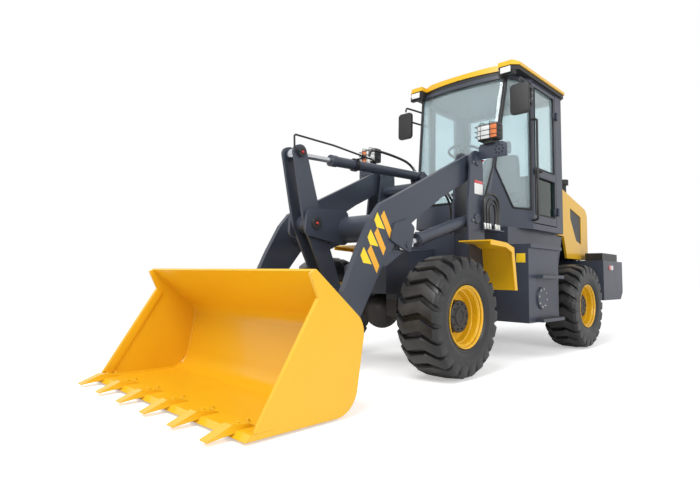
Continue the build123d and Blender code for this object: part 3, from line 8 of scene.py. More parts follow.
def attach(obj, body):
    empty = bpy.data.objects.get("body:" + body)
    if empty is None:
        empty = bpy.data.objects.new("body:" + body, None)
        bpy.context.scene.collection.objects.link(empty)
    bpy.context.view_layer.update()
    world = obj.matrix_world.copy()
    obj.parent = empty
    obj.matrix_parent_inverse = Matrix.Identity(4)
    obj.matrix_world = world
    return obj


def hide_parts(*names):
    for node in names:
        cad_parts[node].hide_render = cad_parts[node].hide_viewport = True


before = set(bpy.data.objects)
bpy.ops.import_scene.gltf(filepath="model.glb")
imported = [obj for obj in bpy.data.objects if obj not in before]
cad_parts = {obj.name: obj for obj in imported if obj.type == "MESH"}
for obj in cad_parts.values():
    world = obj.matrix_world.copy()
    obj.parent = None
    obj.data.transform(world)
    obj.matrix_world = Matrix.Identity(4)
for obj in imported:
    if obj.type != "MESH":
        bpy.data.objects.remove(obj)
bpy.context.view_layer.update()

# Camera: low on the driver's side in front of the loader, as a person stands who photographs it.
# It has a short lens, which makes the bucket loom and the tail shrink.
eye = Vector((4.2009, 2.8274, 0.7516))
yaw, pitch, roll = radians(223.4), radians(5.1), radians(0.9)
ahead = Vector((cos(yaw) * cos(pitch), sin(yaw) * cos(pitch), sin(pitch)))
level = ahead.cross(Vector((0, 0, 1))).normalized()
right = level * cos(roll) + level.cross(ahead) * sin(roll)
upward = -level * sin(roll) + level.cross(ahead) * cos(roll)
lens = bpy.data.cameras.new("camera")
lens.sensor_width = 36
lens.lens = 25.709
lens.shift_x = -0.0151
lens.shift_y = -0.0176
lens.clip_end = 200
camera = bpy.data.objects.new("camera", lens)
camera.matrix_world = Matrix(((right.x, upward.x, -ahead.x, eye.x), (right.y, upward.y, -ahead.y, eye.y),
                              (right.z, upward.z, -ahead.z, eye.z), (0, 0, 0, 1)))
bpy.context.collection.objects.link(camera)
bpy.context.scene.camera = camera

# Studio: a pale floor under a white sky, with one broad soft light above the bucket and a weaker one
# on the driver's side.
bpy.context.scene.view_settings.view_transform = "Standard"
sky_light, sky_seen = 0.62, 1.0
sky = bpy.data.worlds.new("white sky")
bpy.context.scene.world = sky
sky.use_nodes = True
nodes, links = sky.node_tree.nodes, sky.node_tree.links
rays = nodes.new("ShaderNodeLightPath")
seen = nodes.new("ShaderNodeMath")
seen.operation = "MAXIMUM"
seen_too = nodes.new("ShaderNodeMath")
seen_too.operation = "MAXIMUM"
strength = nodes.new("ShaderNodeMapRange")
strength.inputs["To Min"].default_value = sky_light
strength.inputs["To Max"].default_value = sky_seen
links.new(rays.outputs["Is Camera Ray"], seen.inputs[0])
links.new(rays.outputs["Is Glossy Ray"], seen.inputs[1])
links.new(seen.outputs[0], seen_too.inputs[0])
links.new(rays.outputs["Is Transmission Ray"], seen_too.inputs[1])
links.new(seen_too.outputs[0], strength.inputs["Value"])
nodes["Background"].inputs["Color"].default_value = (1, 1, 1, 1)
links.new(strength.outputs["Result"], nodes["Background"].inputs["Strength"])


def lamp(name, place, target, size, power):
    """A round soft light that faces its target."""
    light = bpy.data.lights.new(name, "AREA")
    light.shape = "DISK"
    light.size = size
    light.energy = power
    bulb = bpy.data.objects.new(name, light)
    bulb.location = place
    bulb.rotation_euler = (Vector(target) - Vector(place)).to_track_quat("-Z", "Y").to_euler()
    bpy.context.collection.objects.link(bulb)


lamp("light above the bucket", (6.5, 1.5, 7.5), (0.8, 0, 1.0), 4.5, 540)
lamp("light from the driver's side", (1.5, 8.0, 4.0), (0, 0, 1.0), 4.0, 190)
floor_half = 40
floor_corners = [(x * floor_half, y * floor_half, 0) for x, y in ((-1, -1), (1, -1), (1, 1), (-1, 1))]
floor_mesh = bpy.data.meshes.new("floor")
floor_mesh.from_pydata(floor_corners, [], [(0, 1, 2, 3)])
floor = bpy.data.objects.new("floor", floor_mesh)
floor.location.z = -0.001
bpy.context.collection.objects.link(floor)
floor_glow = 0.42
pale = bpy.data.materials.new("pale floor")
pale.use_nodes = True
nodes, links = pale.node_tree.nodes, pale.node_tree.links
shader = nodes["Principled BSDF"]
shader.inputs["Base Color"].default_value = (0.93, 0.93, 0.93, 1)
shader.inputs["Roughness"].default_value = 0.9
shader.inputs["Emission Color"].default_value = (1, 1, 1, 1)
floor_rays = nodes.new("ShaderNodeLightPath")
direct = nodes.new("ShaderNodeMath")
direct.operation = "MAXIMUM"
glow = nodes.new("ShaderNodeMath")
glow.operation = "MULTIPLY"
glow.inputs[1].default_value = floor_glow
links.new(floor_rays.outputs["Is Camera Ray"], direct.inputs[0])
links.new(floor_rays.outputs["Is Transmission Ray"], direct.inputs[1])
links.new(direct.outputs[0], glow.inputs[0])
links.new(glow.outputs[0], shader.inputs["Emission Strength"])
floor_mesh.materials.append(pale)

# Rear frame: welded steel plate with the hinge forks, box rails and the deck, painted dark blue-grey
# with the rest of the chassis. The paint is a thick sprayed coat with a slight orange peel, and dust
# lies on it low down.
hinge_back = 0.3245


def at(x, y, z):
    """A place measured from the steering hinge, which stands hinge_back behind the loader's middle."""
    return Vector((x - hinge_back, y, z))


def paint(name, colour, rough=0.4, coat=0.1, metal=0.0, cloud=0.10, grain=260, depth=0.05, edge=0.003,
          dust=0.2):
    """A finish with faint cloudiness, a fine grain, edges that catch the light and dust near the ground."""
    clean_above, dirtiest_below = 1.2, 0.1
    mat = bpy.data.materials.new(name)
    mat.use_nodes = True
    mat.diffuse_color = (*colour, 1)
    nodes, links = mat.node_tree.nodes, mat.node_tree.links
    shader = nodes["Principled BSDF"]
    shader.inputs["Metallic"].default_value = metal
    shader.inputs["Coat Weight"].default_value = coat
    shader.inputs["Coat Roughness"].default_value = 0.12
    where = nodes.new("ShaderNodeTexCoord")
    blotch = nodes.new("ShaderNodeTexNoise")
    blotch.inputs["Scale"].default_value = 6
    blotch.inputs["Detail"].default_value = 5
    links.new(where.outputs["Object"], blotch.inputs["Vector"])
    tint = nodes.new("ShaderNodeMix")
    tint.data_type = "RGBA"
    tint.inputs[6].default_value = (*[c * (1 - cloud) for c in colour], 1)
    tint.inputs[7].default_value = (*[min(1, c * (1 + cloud)) for c in colour], 1)
    links.new(blotch.outputs["Fac"], tint.inputs[0])
    height = nodes.new("ShaderNodeSeparateXYZ")
    links.new(where.outputs["Object"], height.inputs[0])
    low = nodes.new("ShaderNodeMapRange")
    low.inputs["From Min"].default_value = clean_above
    low.inputs["From Max"].default_value = dirtiest_below
    low.inputs["To Max"].default_value = dust
    links.new(height.outputs["Z"], low.inputs["Value"])
    patch = nodes.new("ShaderNodeMath")
    patch.operation = "MULTIPLY"
    links.new(low.outputs["Result"], patch.inputs[0])
    links.new(blotch.outputs["Fac"], patch.inputs[1])
    soiled = nodes.new("ShaderNodeMix")
    soiled.data_type = "RGBA"
    soiled.inputs[7].default_value = (0.20, 0.17, 0.13, 1)
    links.new(patch.outputs[0], soiled.inputs[0])
    links.new(tint.outputs[2], soiled.inputs[6])
    links.new(soiled.outputs[2], shader.inputs["Base Color"])
    matt = nodes.new("ShaderNodeMapRange")
    matt.inputs["To Min"].default_value = rough - 0.07
    matt.inputs["To Max"].default_value = rough + 0.07
    links.new(blotch.outputs["Fac"], matt.inputs["Value"])
    links.new(matt.outputs["Result"], shader.inputs["Roughness"])
    peel = nodes.new("ShaderNodeTexNoise")
    peel.inputs["Scale"].default_value = grain
    links.new(where.outputs["Object"], peel.inputs["Vector"])
    rounded = nodes.new("ShaderNodeBevel")
    rounded.samples = 4
    rounded.inputs["Radius"].default_value = edge
    bump = nodes.new("ShaderNodeBump")
    bump.inputs["Strength"].default_value = depth
    bump.inputs["Distance"].default_value = 0.001
    links.new(peel.outputs["Fac"], bump.inputs["Height"])
    links.new(rounded.outputs["Normal"], bump.inputs["Normal"])
    links.new(bump.outputs["Normal"], shader.inputs["Normal"])
    return mat


def coat(material, *names):
    """Puts a finish on CAD nodes that keep their own shape."""
    for name in names:
        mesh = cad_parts[name].data
        mesh.materials.clear()
        mesh.materials.append(material)


slate = paint("blue-grey enamel", (0.036, 0.045, 0.067), dust=0.07)
coat(slate, "rear_frame")

# Rear axle: a cast housing with a ball for the gears, hung under the frame between the wheels and
# sprayed black.
cast_black = paint("black on castings", (0.014, 0.014, 0.016), rough=0.55, coat=0, grain=90, depth=0.25)
coat(cast_black, "rear_axle")

# Side boxes: fuel and oil tanks of bent plate under the deck, with two steps and a round clean-out
# cover held by eight zinc-plated bolts. A blank yellow sign is stuck to the front of each.
zinc = paint("zinc plated steel", (0.45, 0.45, 0.43), rough=0.35, coat=0, metal=1, grain=500, depth=0.1,
             edge=0.0008)
warning = paint("yellow sign", (0.85, 0.55, 0.02), rough=0.3, coat=0.3, cloud=0.03, edge=0.0005)
hands = ((1, "left"), (-1, "right"))
coat(slate, "side_boxes")


def hung(name, mesh, material, body, *replaced, bend=35):
    """Makes a piece of a mesh, smooth where it turns by less than bend degrees, and hangs it on a body."""
    mesh.materials.clear()
    mesh.materials.append(material)
    mesh.polygons.foreach_set("use_smooth", [True] * len(mesh.polygons))
    mesh.set_sharp_from_angle(angle=radians(bend))
    piece = bpy.data.objects.new(name, mesh)
    bpy.context.collection.objects.link(piece)
    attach(piece, body)
    if replaced:
        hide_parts(*replaced)
    return piece


def grown(name, mesh, tree, settings):
    """The plain mesh that a tree of geometry nodes makes of a mesh."""
    stock = bpy.data.objects.new(name, mesh)
    bpy.context.collection.objects.link(stock)
    modifier = stock.modifiers.new("nodes", "NODES")
    modifier.node_group = tree
    for socket in tree.interface.items_tree:
        if socket.name in settings:
            modifier[socket.identifier] = settings[socket.name]
    bpy.context.view_layer.update()
    result = bpy.data.meshes.new_from_object(stock.evaluated_get(bpy.context.evaluated_depsgraph_get()))
    stock.modifiers.remove(modifier)
    bpy.data.objects.remove(stock)
    result.name = name
    return result


def bolt_tree():
    """Hexagon bolts with washers on each point, standing along the point's own direction."""
    tree = bpy.data.node_groups.new("bolts", "GeometryNodeTree")
    tree.interface.new_socket("Points", in_out="INPUT", socket_type="NodeSocketGeometry")
    tree.interface.new_socket("Across", in_out="INPUT", socket_type="NodeSocketFloat")
    tree.interface.new_socket("Material", in_out="INPUT", socket_type="NodeSocketMaterial")
    tree.interface.new_socket("Bolts", in_out="OUTPUT", socket_type="NodeSocketGeometry")
    nodes, links = tree.nodes, tree.links
    given = nodes.new("NodeGroupInput")
    made = nodes.new("NodeGroupOutput")
    join = nodes.new("GeometryNodeJoinGeometry")
    # Each part has its sides, then as shares of Across: foot radius, top radius, height, middle's height.
    washer = (24, 1.0, 0.96, 0.18, 0.08)
    head = (6, 0.62, 0.62, 0.5, 0.42)
    crown = (6, 0.62, 0.48, 0.12, 0.73)
    for sides, radius, top, depth, middle in (washer, head, crown):
        disc = nodes.new("GeometryNodeMeshCone")
        disc.inputs["Vertices"].default_value = sides
        for socket, share in (("Radius Bottom", radius), ("Radius Top", top), ("Depth", depth)):
            size = nodes.new("ShaderNodeMath")
            size.operation = "MULTIPLY"
            size.inputs[1].default_value = share
            links.new(given.outputs["Across"], size.inputs[0])
            links.new(size.outputs[0], disc.inputs[socket])
        shift = nodes.new("GeometryNodeTransform")
        rise = nodes.new("ShaderNodeMath")
        rise.operation = "MULTIPLY"
        rise.inputs[1].default_value = middle - depth / 2
        offset = nodes.new("ShaderNodeCombineXYZ")
        links.new(given.outputs["Across"], rise.inputs[0])
        links.new(rise.outputs[0], offset.inputs["Z"])
        links.new(disc.outputs["Mesh"], shift.inputs["Geometry"])
        links.new(offset.outputs[0], shift.inputs["Translation"])
        links.new(shift.outputs["Geometry"], join.inputs["Geometry"])
    facing = nodes.new("GeometryNodeInputNamedAttribute")
    facing.data_type = "FLOAT_VECTOR"
    facing.inputs["Name"].default_value = "facing"
    stand = nodes.new("FunctionNodeAlignEulerToVector")
    stand.axis = "Z"
    links.new(facing.outputs["Attribute"], stand.inputs["Vector"])
    place = nodes.new("GeometryNodeInstanceOnPoints")
    links.new(given.outputs["Points"], place.inputs["Points"])
    links.new(join.outputs["Geometry"], place.inputs["Instance"])
    links.new(stand.outputs["Rotation"], place.inputs["Rotation"])
    real = nodes.new("GeometryNodeRealizeInstances")
    links.new(place.outputs["Instances"], real.inputs["Geometry"])
    skin = nodes.new("GeometryNodeSetMaterial")
    links.new(real.outputs["Geometry"], skin.inputs["Geometry"])
    links.new(given.outputs["Material"], skin.inputs["Material"])
    links.new(skin.outputs["Geometry"], made.inputs["Bolts"])
    return tree


bolt_nodes = bolt_tree()


def bolts(name, places, facing, across, body, material=zinc):
    """Bolts at the places; facing is one direction for all of them or one for each."""
    mesh = bpy.data.meshes.new(name)
    mesh.from_pydata([tuple(p) for p in places], [], [])
    ways = facing if isinstance(facing[0], (tuple, Vector)) else [facing] * len(places)
    attribute = mesh.attributes.new("facing", "FLOAT_VECTOR", "POINT")
    attribute.data.foreach_set("vector", [c for way in ways for c in way])
    return hung(name, grown(name, mesh, bolt_nodes, {"Across": across, "Material": material}), material, body)


def ring(centre, radius, count, first=0.0):
    """Places evenly round a centre, in a plane that faces along Y."""
    turns = [first + 2 * pi * i / count for i in range(count)]
    return [centre + Vector((radius * cos(t), 0, radius * sin(t))) for t in turns]


cover_circle, cover_bolt_count, cover_bolt = 0.086, 8, 0.011
for side, hand in hands:
    cover = at(-0.192, side * 0.789, 0.565)
    bolts(f"cover_bolts_{hand}", ring(cover, cover_circle, cover_bolt_count, 0.2), (0, side, 0), cover_bolt,
          "chassis")


def solid(work, bevel=0.0, steps=2):
    """A mesh of a bmesh, its edges rounded by bevel."""
    bmesh.ops.recalc_face_normals(work, faces=work.faces)
    if bevel:
        sharp = [e for e in work.edges if e.is_manifold and e.calc_face_angle() > 0.5]
        bmesh.ops.bevel(work, geom=sharp, offset=bevel, segments=steps, affect="EDGES", profile=0.6,
                        clamp_overlap=True)
    mesh = bpy.data.meshes.new("solid")
    work.to_mesh(mesh)
    work.free()
    return mesh


def prism(outline, depth, place=Matrix(), bevel=0.0):
    """An outline in X and Y pulled up along Z by depth, then put in its place."""
    work = bmesh.new()
    low = [work.verts.new((x, y, 0)) for x, y in outline]
    high = [work.verts.new((x, y, depth)) for x, y in outline]
    work.faces.new(low[::-1])
    work.faces.new(high)
    for i in range(len(low)):
        j = (i + 1) % len(low)
        work.faces.new((low[i], low[j], high[j], high[i]))
    mesh = solid(work, bevel)
    mesh.transform(place)
    return mesh


def brick(low, high, bevel=0.004):
    """A block between two corners measured from the hinge, with rounded edges."""
    start, end = at(*low), at(*high)
    outline = [(start.x, start.y), (end.x, start.y), (end.x, end.y), (start.x, end.y)]
    return prism(outline, end.z - start.z, Matrix.Translation((0, 0, start.z)), bevel)


def joined(*meshes):
    """One mesh of several."""
    work = bmesh.new()
    for mesh in meshes:
        work.from_mesh(mesh)
        bpy.data.meshes.remove(mesh)
    whole = bpy.data.meshes.new("joined")
    work.to_mesh(whole)
    work.free()
    return whole


sign_middle, sign_half = 0.70, 0.045
signs = []
for side in (1, -1):
    y = side * sign_middle
    signs.append(brick((0.0848, y - sign_half, 0.90), (0.0862, y + sign_half, 0.985), 0.0005))
hung("box_signs", joined(*signs), warning, "chassis")

# Step treads: a raised rubber grip with twelve ribs on each of the two steps a side, pressed into
# the plate.
rubber = paint("moulded rubber", (0.016, 0.016, 0.017), rough=0.65, coat=0, grain=350, depth=0.3,
               edge=0.001, dust=0.5)
rib_count, rib_pitch, rib_wide, rib_high = 12, 0.0415, 0.02, 0.004


def span(side, near, far):
    """The Y of two distances from the middle on one side, the lower value first."""
    return sorted((side * near, side * far))


treads = []
for side in (1, -1):
    low, high = span(side, 0.792, 0.842)
    for step in (0.3755, 0.7855):
        for i in range(rib_count):
            x = -0.548 + i * rib_pitch
            treads.append(brick((x, low, step), (x + rib_wide, high, step + rib_high), 0.0015))
hung("step_treads", joined(*treads), rubber, "chassis")

# Counterweight: a heavy casting bolted across the tail, with the tow jaw, painted like the frame. A
# red and a white reflector are stuck to each end.
coat(slate, "counterweight")
red_lens = paint("red reflector", (0.55, 0.012, 0.01), rough=0.2, coat=0.8, grain=900, depth=0.6,
                 edge=0.001)
white_lens = paint("white reflector", (0.75, 0.75, 0.74), rough=0.25, coat=0.6, grain=900, depth=0.6,
                   edge=0.001)
reflector_foot, reflector_top = 0.872, 0.928
for side, hand in hands:
    low, high = span(side, 0.7853, 0.7893)
    red = brick((-2.25, low, reflector_foot), (-2.16, high, reflector_top), 0.0012)
    hung(f"red_reflector_{hand}", red, red_lens, "chassis")
    white = brick((-2.32, low, reflector_foot), (-2.252, high, reflector_top), 0.0012)
    hung(f"white_reflector_{hand}", white, white_lens, "chassis")

# Boxes on the counterweight: battery boxes of folded black sheet, each with a lid that laps over
# its walls.
black_sheet = paint("black sheet metal", (0.012, 0.012, 0.013), rough=0.45, coat=0.05)
coat(black_sheet, "rear_toolboxes")

# Engine and radiator: a cast block and its cooler under the hood, seen only through gaps and painted
# like the frame.
coat(slate, "engine_block", "radiator")

# Cab shell: pressed and welded posts, painted like the frame, with a black rubber edge where each
# pane is bonded in. The windscreen bows forward between its two corner posts, which lean back.
coat(slate, "cab_shell")
screen_foot, screen_tall = 1.25, 1.565
corner_x, corner_back = 0.225, 0.255
corner_y, corner_out = 0.418, 0.102
screen_bow = 0.055
door_post = Vector((-0.33, 0.64))
seal, inset = 0.009, 0.012
sill, knee, header = 1.45, 1.835, 2.765


def pipe(name, points, radius, material, body, *replaced, cyclic=False, order=3):
    """A tube that follows points measured from the hinge in a smooth line."""
    curve = bpy.data.curves.new(name, "CURVE")
    curve.dimensions = "3D"
    curve.bevel_depth = radius
    curve.bevel_resolution = 3
    curve.resolution_u = 10
    curve.use_fill_caps = not cyclic
    line = curve.splines.new("NURBS" if order > 2 else "POLY")
    line.points.add(len(points) - 1)
    for point, place in zip(line.points, points):
        point.co = (*at(*place), 1)
    line.use_cyclic_u = cyclic
    if order > 2:
        line.order_u = order
        line.use_endpoint_u = not cyclic
    stock = bpy.data.objects.new(name, curve)
    bpy.context.collection.objects.link(stock)
    bpy.context.view_layer.update()
    mesh = bpy.data.meshes.new_from_object(stock.evaluated_get(bpy.context.evaluated_depsgraph_get()))
    bpy.data.objects.remove(stock)
    return hung(name, mesh, material, body, *replaced)


def corner(z):
    """How far forward and how far out a corner post stands at a height, measured from the hinge."""
    share = (z - screen_foot) / screen_tall
    return Vector((corner_x - share * corner_back, corner_y + share * corner_out))


def nose(z, half, out=0.004):
    """Where the windscreen stands at a height and a distance from the middle, measured from the hinge."""
    x, y = corner(z)
    return (x + screen_bow * (1 - (half / y) ** 2) + out, half, z)


def side_pane(z, run, side, out=0.004):
    """A place on a corner pane, run metres along from the door post."""
    way = (corner(z) - door_post).normalized()
    spot = door_post + way * run
    return (spot.x - way.y * out, side * (spot.y + way.x * out), z)


def seam(name, loop, material, width=0.011, body="chassis"):
    """A bead of rubber round a pane, along straight runs between many close places."""
    return pipe(name, loop, width, material, body, cyclic=True, order=2)


def spread(*corners, steps=8):
    """Places along straight runs between corners of a loop, each given as a pair of numbers."""
    places = []
    for (a, b), (c, d) in zip(corners, corners[1:] + corners[:1]):
        places += [(a + (c - a) * i / steps, b + (d - b) * i / steps) for i in range(steps)]
    return places


knee_half, top_half = corner(knee).y - inset, corner(header).y - inset
loop = spread((-0.38, 1.5), (0.38, 1.5), (knee_half, knee), (top_half, header), (-top_half, header),
              (-knee_half, knee))
seam("screen_seal", [nose(z, half) for half, z in loop], rubber, seal)
knee_run, top_run = [(corner(z) - door_post).length - inset for z in (knee, header)]
loop = spread((0.024, sill), (0.262, sill), (knee_run, knee), (top_run, header), (0.024, header))
for side, hand in hands:
    seam(f"corner_seal_{hand}", [side_pane(z, run, side) for run, z in loop], rubber, seal)
loop = spread((-0.544, 1.96), (0.544, 1.96), (0.544, header), (-0.544, header))
seam("rear_seal", [(-1.104, y, z) for y, z in loop], rubber, seal)
loop = spread((-0.872, sill), (-0.398, sill), (-0.398, header), (-0.872, header))
seam("right_seal", [(x, -0.644, z) for x, z in loop], rubber, seal)

# Grab tube: a bent steel tube beside the door, from the deck to above the door's lock, fixed to the
# post at both ends.
grab_x, grab_wall, grab_out = -0.318, 0.642, 0.70
grab_line = [(grab_wall, 1.34), (grab_out, 1.34), (grab_out, 1.38), (grab_out, 1.9), (grab_out, 2.34),
             (grab_out, 2.38), (grab_wall, 2.38)]
pipe("grab_tube", [(grab_x, y, z) for y, z in grab_line], 0.012, black_sheet, "chassis")

# Cab glass: tinted safety glass, bonded to the posts. The windscreen is curved, the rest are flat,
# and a thin haze of dirt dulls them in places.
glass = bpy.data.materials.new("tinted cab glass")
glass.use_nodes = True
glass.diffuse_color = (0.6, 0.85, 0.86, 0.4)
nodes, links = glass.node_tree.nodes, glass.node_tree.links
shader = nodes["Principled BSDF"]
shader.inputs["IOR"].default_value = 1.45
shader.inputs["Transmission Weight"].default_value = 0.80
where = nodes.new("ShaderNodeTexCoord")
haze = nodes.new("ShaderNodeTexNoise")
haze.inputs["Scale"].default_value = 3
links.new(where.outputs["Object"], haze.inputs["Vector"])
film = nodes.new("ShaderNodeMapRange")
film.inputs["To Min"].default_value = 0.0
film.inputs["To Max"].default_value = 0.03
links.new(haze.outputs["Fac"], film.inputs["Value"])
links.new(film.outputs["Result"], shader.inputs["Roughness"])
aqua = nodes.new("ShaderNodeMix")
aqua.data_type = "RGBA"
aqua.inputs[6].default_value = (0.76, 0.93, 0.97, 1)
aqua.inputs[7].default_value = (0.86, 0.97, 1.0, 1)
links.new(haze.outputs["Fac"], aqua.inputs[0])
links.new(aqua.outputs[2], shader.inputs["Base Color"])
coat(glass, "cab_glass")

# Seat: foam cushion, backrest and headrest covered in grained black vinyl, on a pedestal of black
# sheet steel.
vinyl = paint("grained vinyl", (0.022, 0.022, 0.024), rough=0.5, coat=0.05, grain=420, depth=0.35,
              edge=0.002, dust=0)
coat(black_sheet, "seat_base")


def cushion(name, low, high, thick_axis, fill, *replaced):
    """A stuffed pad between two corners measured from the hinge, crowned across its two long ways."""
    rim_share, pull = 0.62, 0.05
    start, end = at(*low), at(*high)
    middle, half = (start + end) / 2, (end - start) / 2
    work = bmesh.new()
    bmesh.ops.create_cube(work, size=2)
    bmesh.ops.subdivide_edges(work, edges=work.edges, cuts=7, use_grid_fill=True)
    long_axes = [i for i in range(3) if i != thick_axis]
    for vertex in work.verts:
        u, v, w = vertex.co[long_axes[0]], vertex.co[long_axes[1]], vertex.co[thick_axis]
        crown = (1 - u ** 4) * (1 - v ** 4)
        vertex.co[thick_axis] = w * (rim_share + (1 - rim_share) * crown)
        vertex.co[long_axes[0]] = u * (1 - pull * v * v - pull * w * w)
        vertex.co[long_axes[1]] = v * (1 - pull * u * u - pull * w * w)
        for i in range(3):
            vertex.co[i] = middle[i] + vertex.co[i] * half[i]
    bmesh.ops.smooth_vert(work, verts=work.verts, factor=0.5, use_axis_x=True, use_axis_y=True,
                          use_axis_z=True)
    pad = hung(name, solid(work), vinyl, "chassis", *replaced, bend=80)
    modifier = pad.modifiers.new("rounding", "SUBSURF")
    modifier.levels = 1
    modifier.render_levels = 1
    bpy.context.view_layer.update()
    pad.data = bpy.data.meshes.new_from_object(pad.evaluated_get(bpy.context.evaluated_depsgraph_get()))
    pad.modifiers.clear()
    return pad


cushion("seat_cushion", (-0.93, -0.24, 1.612), (-0.47, 0.24, 1.722), 2, 0.8, "seat_pad")
cushion("seat_back", (-0.93, -0.235, 1.722), (-0.83, 0.235, 2.20), 0, 0.8, "seat_pad")
cushion("headrest", (-0.925, -0.13, 2.21), (-0.835, 0.13, 2.37), 0, 0.85, "seat_pad")

# Steering column: a moulded plastic shroud bolted to the cab's floor, with the wheel on top in the
# same black plastic.
plastic = paint("grained black plastic", (0.014, 0.014, 0.015), rough=0.5, coat=0, grain=600, depth=0.2,
                edge=0.002, dust=0)
coat(plastic, "steering_column")

# Roof: a pressed yellow shell over a black lining, with a lamp let into each front corner in a
# moulded case.
yellow = paint("yellow enamel", (0.82, 0.46, 0.010), rough=0.32, coat=0.22, cloud=0.03, dust=0.03)
coat(yellow, "cab_roof")
coat(plastic, "roof_lining")
clear_lens = paint("ribbed clear lens", (0.80, 0.82, 0.82), rough=0.15, coat=1, grain=150, depth=0.6,
                   edge=0.002, dust=0)
lamp_y, lamp_z = 0.554, 2.8117
for side, hand in hands:
    y = side * lamp_y
    case = brick((0.0488, y - 0.062, lamp_z - 0.037), (0.062, y + 0.062, lamp_z + 0.037), 0.005)
    hung(f"roof_lamp_case_{hand}", case, plastic, "chassis", "roof_lamps")
    cover = brick((0.060, y - 0.054, lamp_z - 0.030), (0.0725, y + 0.054, lamp_z + 0.030), 0.006)
    hung(f"roof_lamp_lens_{hand}", cover, clear_lens, "chassis", "roof_lamps")

# Mirrors: moulded black shells on two tubes, bolted by a plate to the cab's front post. The glass is
# silvered and faintly uneven.
silver = bpy.data.materials.new("mirror glass")
silver.use_nodes = True
nodes, links = silver.node_tree.nodes, silver.node_tree.links
shader = nodes["Principled BSDF"]
shader.inputs["Metallic"].default_value = 1
shader.inputs["Roughness"].default_value = 0.03
where = nodes.new("ShaderNodeTexCoord")
haze = nodes.new("ShaderNodeTexNoise")
haze.inputs["Scale"].default_value = 12
links.new(where.outputs["Object"], haze.inputs["Vector"])
tone = nodes.new("ShaderNodeMix")
tone.data_type = "RGBA"
tone.inputs[6].default_value = (0.80, 0.83, 0.85, 1)
tone.inputs[7].default_value = (0.88, 0.90, 0.91, 1)
links.new(haze.outputs["Fac"], tone.inputs[0])
links.new(tone.outputs[2], shader.inputs["Base Color"])


def facing_ahead(x):
    """Stands an outline in Y and Z up across the loader at x, measured from the hinge."""
    return Matrix(((0, 0, 1, x - hinge_back), (1, 0, 0, 0), (0, 1, 0, 0), (0, 0, 0, 1)))


round_foot, round_top, round_r = 2.3705, 2.5955, 0.04
for side, hand in hands:
    low, high = span(side, 0.605, 0.795)
    inner, outer = low + round_r, high - round_r
    rounds = ((outer, round_top, 0), (inner, round_top, 90), (inner, round_foot, 180),
              (outer, round_foot, 270))
    outline = [(y + round_r * cos(radians(first + t)), z + round_r * sin(radians(first + t)))
               for y, z, first in rounds for t in range(0, 91, 18)]
    shell = prism(outline, 0.035, facing_ahead(0.046), 0.009)
    hung(f"mirror_shell_{hand}", shell, plastic, "chassis", "mirrors")
    pane = brick((0.0445, low + 0.012, 2.344), (0.0475, high - 0.012, 2.622), 0.001)
    hung(f"mirror_glass_{hand}", pane, silver, "chassis")
    for i, z in enumerate((2.7055, 2.5555)):
        arm = [(-0.318, side * 0.652, z), (-0.2, side * 0.668, z), (0.02, side * 0.695, z),
               (0.055, side * 0.70, z - 0.004), (0.060, side * 0.70, z - 0.05)]
        pipe(f"mirror_tube_{hand}_{i}", arm, 0.0105, black_sheet, "chassis")
    low, high = span(side, 0.6405, 0.6512)
    plate = brick((-0.336, low, 2.526), (-0.306, high, 2.725), 0.002)
    hung(f"mirror_foot_{hand}", plate, black_sheet, "chassis")
    heads = [at(-0.321, side * 0.6512, z) for z in (2.60, 2.66)]
    bolts(f"mirror_bolts_{hand}", heads, (0, side, 0), 0.009, "chassis")

# Door: a welded frame with a middle rail and two bonded panes, hinged at its rear edge, with a
# handle and a lock on its rail. The lower pane's dark green is painted shade, standing for the
# shaded cab inside behind it.
coat(slate, "door")
door_glass_painted_shade = glass.copy()
door_glass_painted_shade.name = "door glass with painted shade below the rail"
nodes, links = door_glass_painted_shade.node_tree.nodes, door_glass_painted_shade.node_tree.links
where = nodes.new("ShaderNodeTexCoord")
height = nodes.new("ShaderNodeSeparateXYZ")
links.new(where.outputs["Object"], height.inputs[0])
above = nodes.new("ShaderNodeMapRange")
above.inputs["From Min"].default_value = 1.84
above.inputs["From Max"].default_value = 1.86
links.new(height.outputs["Z"], above.inputs["Value"])
# Below the rail the pane's colour is painted shade: a dark green that stands for the shaded cab inside, not a
# tint in the glass.
shade = nodes.new("ShaderNodeMix")
shade.data_type = "RGBA"
shade.inputs[6].default_value = (0.02, 0.07, 0.055, 1)
shade.inputs[7].default_value = (0.80, 0.95, 0.97, 1)
links.new(above.outputs["Result"], shade.inputs[0])
links.new(shade.outputs[2], nodes["Principled BSDF"].inputs["Base Color"])
coat(door_glass_painted_shade, "door_glass")
for name, low, high in (("low", 1.41, 1.805), ("high", 1.895, 2.745)):
    loop = spread((-0.875, low), (-0.395, low), (-0.395, high), (-0.875, high))
    seam(f"door_seal_{name}", [(x, 0.6415, z) for x, z in loop], rubber, 0.007, "door_body")
hung("door_lock", brick((-0.475, 0.6402, 1.815), (-0.365, 0.655, 1.885), 0.005), plastic, "door_body")
rail_z = 1.85
grip = [(-0.455, 0.65), (-0.455, 0.692), (-0.445, 0.695), (-0.38, 0.695), (-0.37, 0.692), (-0.37, 0.65)]
pipe("door_handle", [(x, y, rail_z) for x, y in grip], 0.008, plastic, "door_body")

# Hood: a pressed cover over the engine, hinged at the tail and held by a plastic latch each side,
# with dark vents of expanded metal. The exhaust is sprayed black.
coat(yellow, "hood")
mesh_black = paint("expanded metal", (0.05, 0.05, 0.052), rough=0.5, coat=0, grain=140, depth=1.0,
                   edge=0.001, dust=0)
coat(mesh_black, "hood_grilles")
coat(cast_black, "exhaust")
for side, hand in hands:
    low, high = span(side, 0.4985, 0.506)
    hung(f"hood_latch_{hand}", brick((-1.24, low, 1.30), (-1.17, high, 1.34), 0.003), plastic, "hood_body")

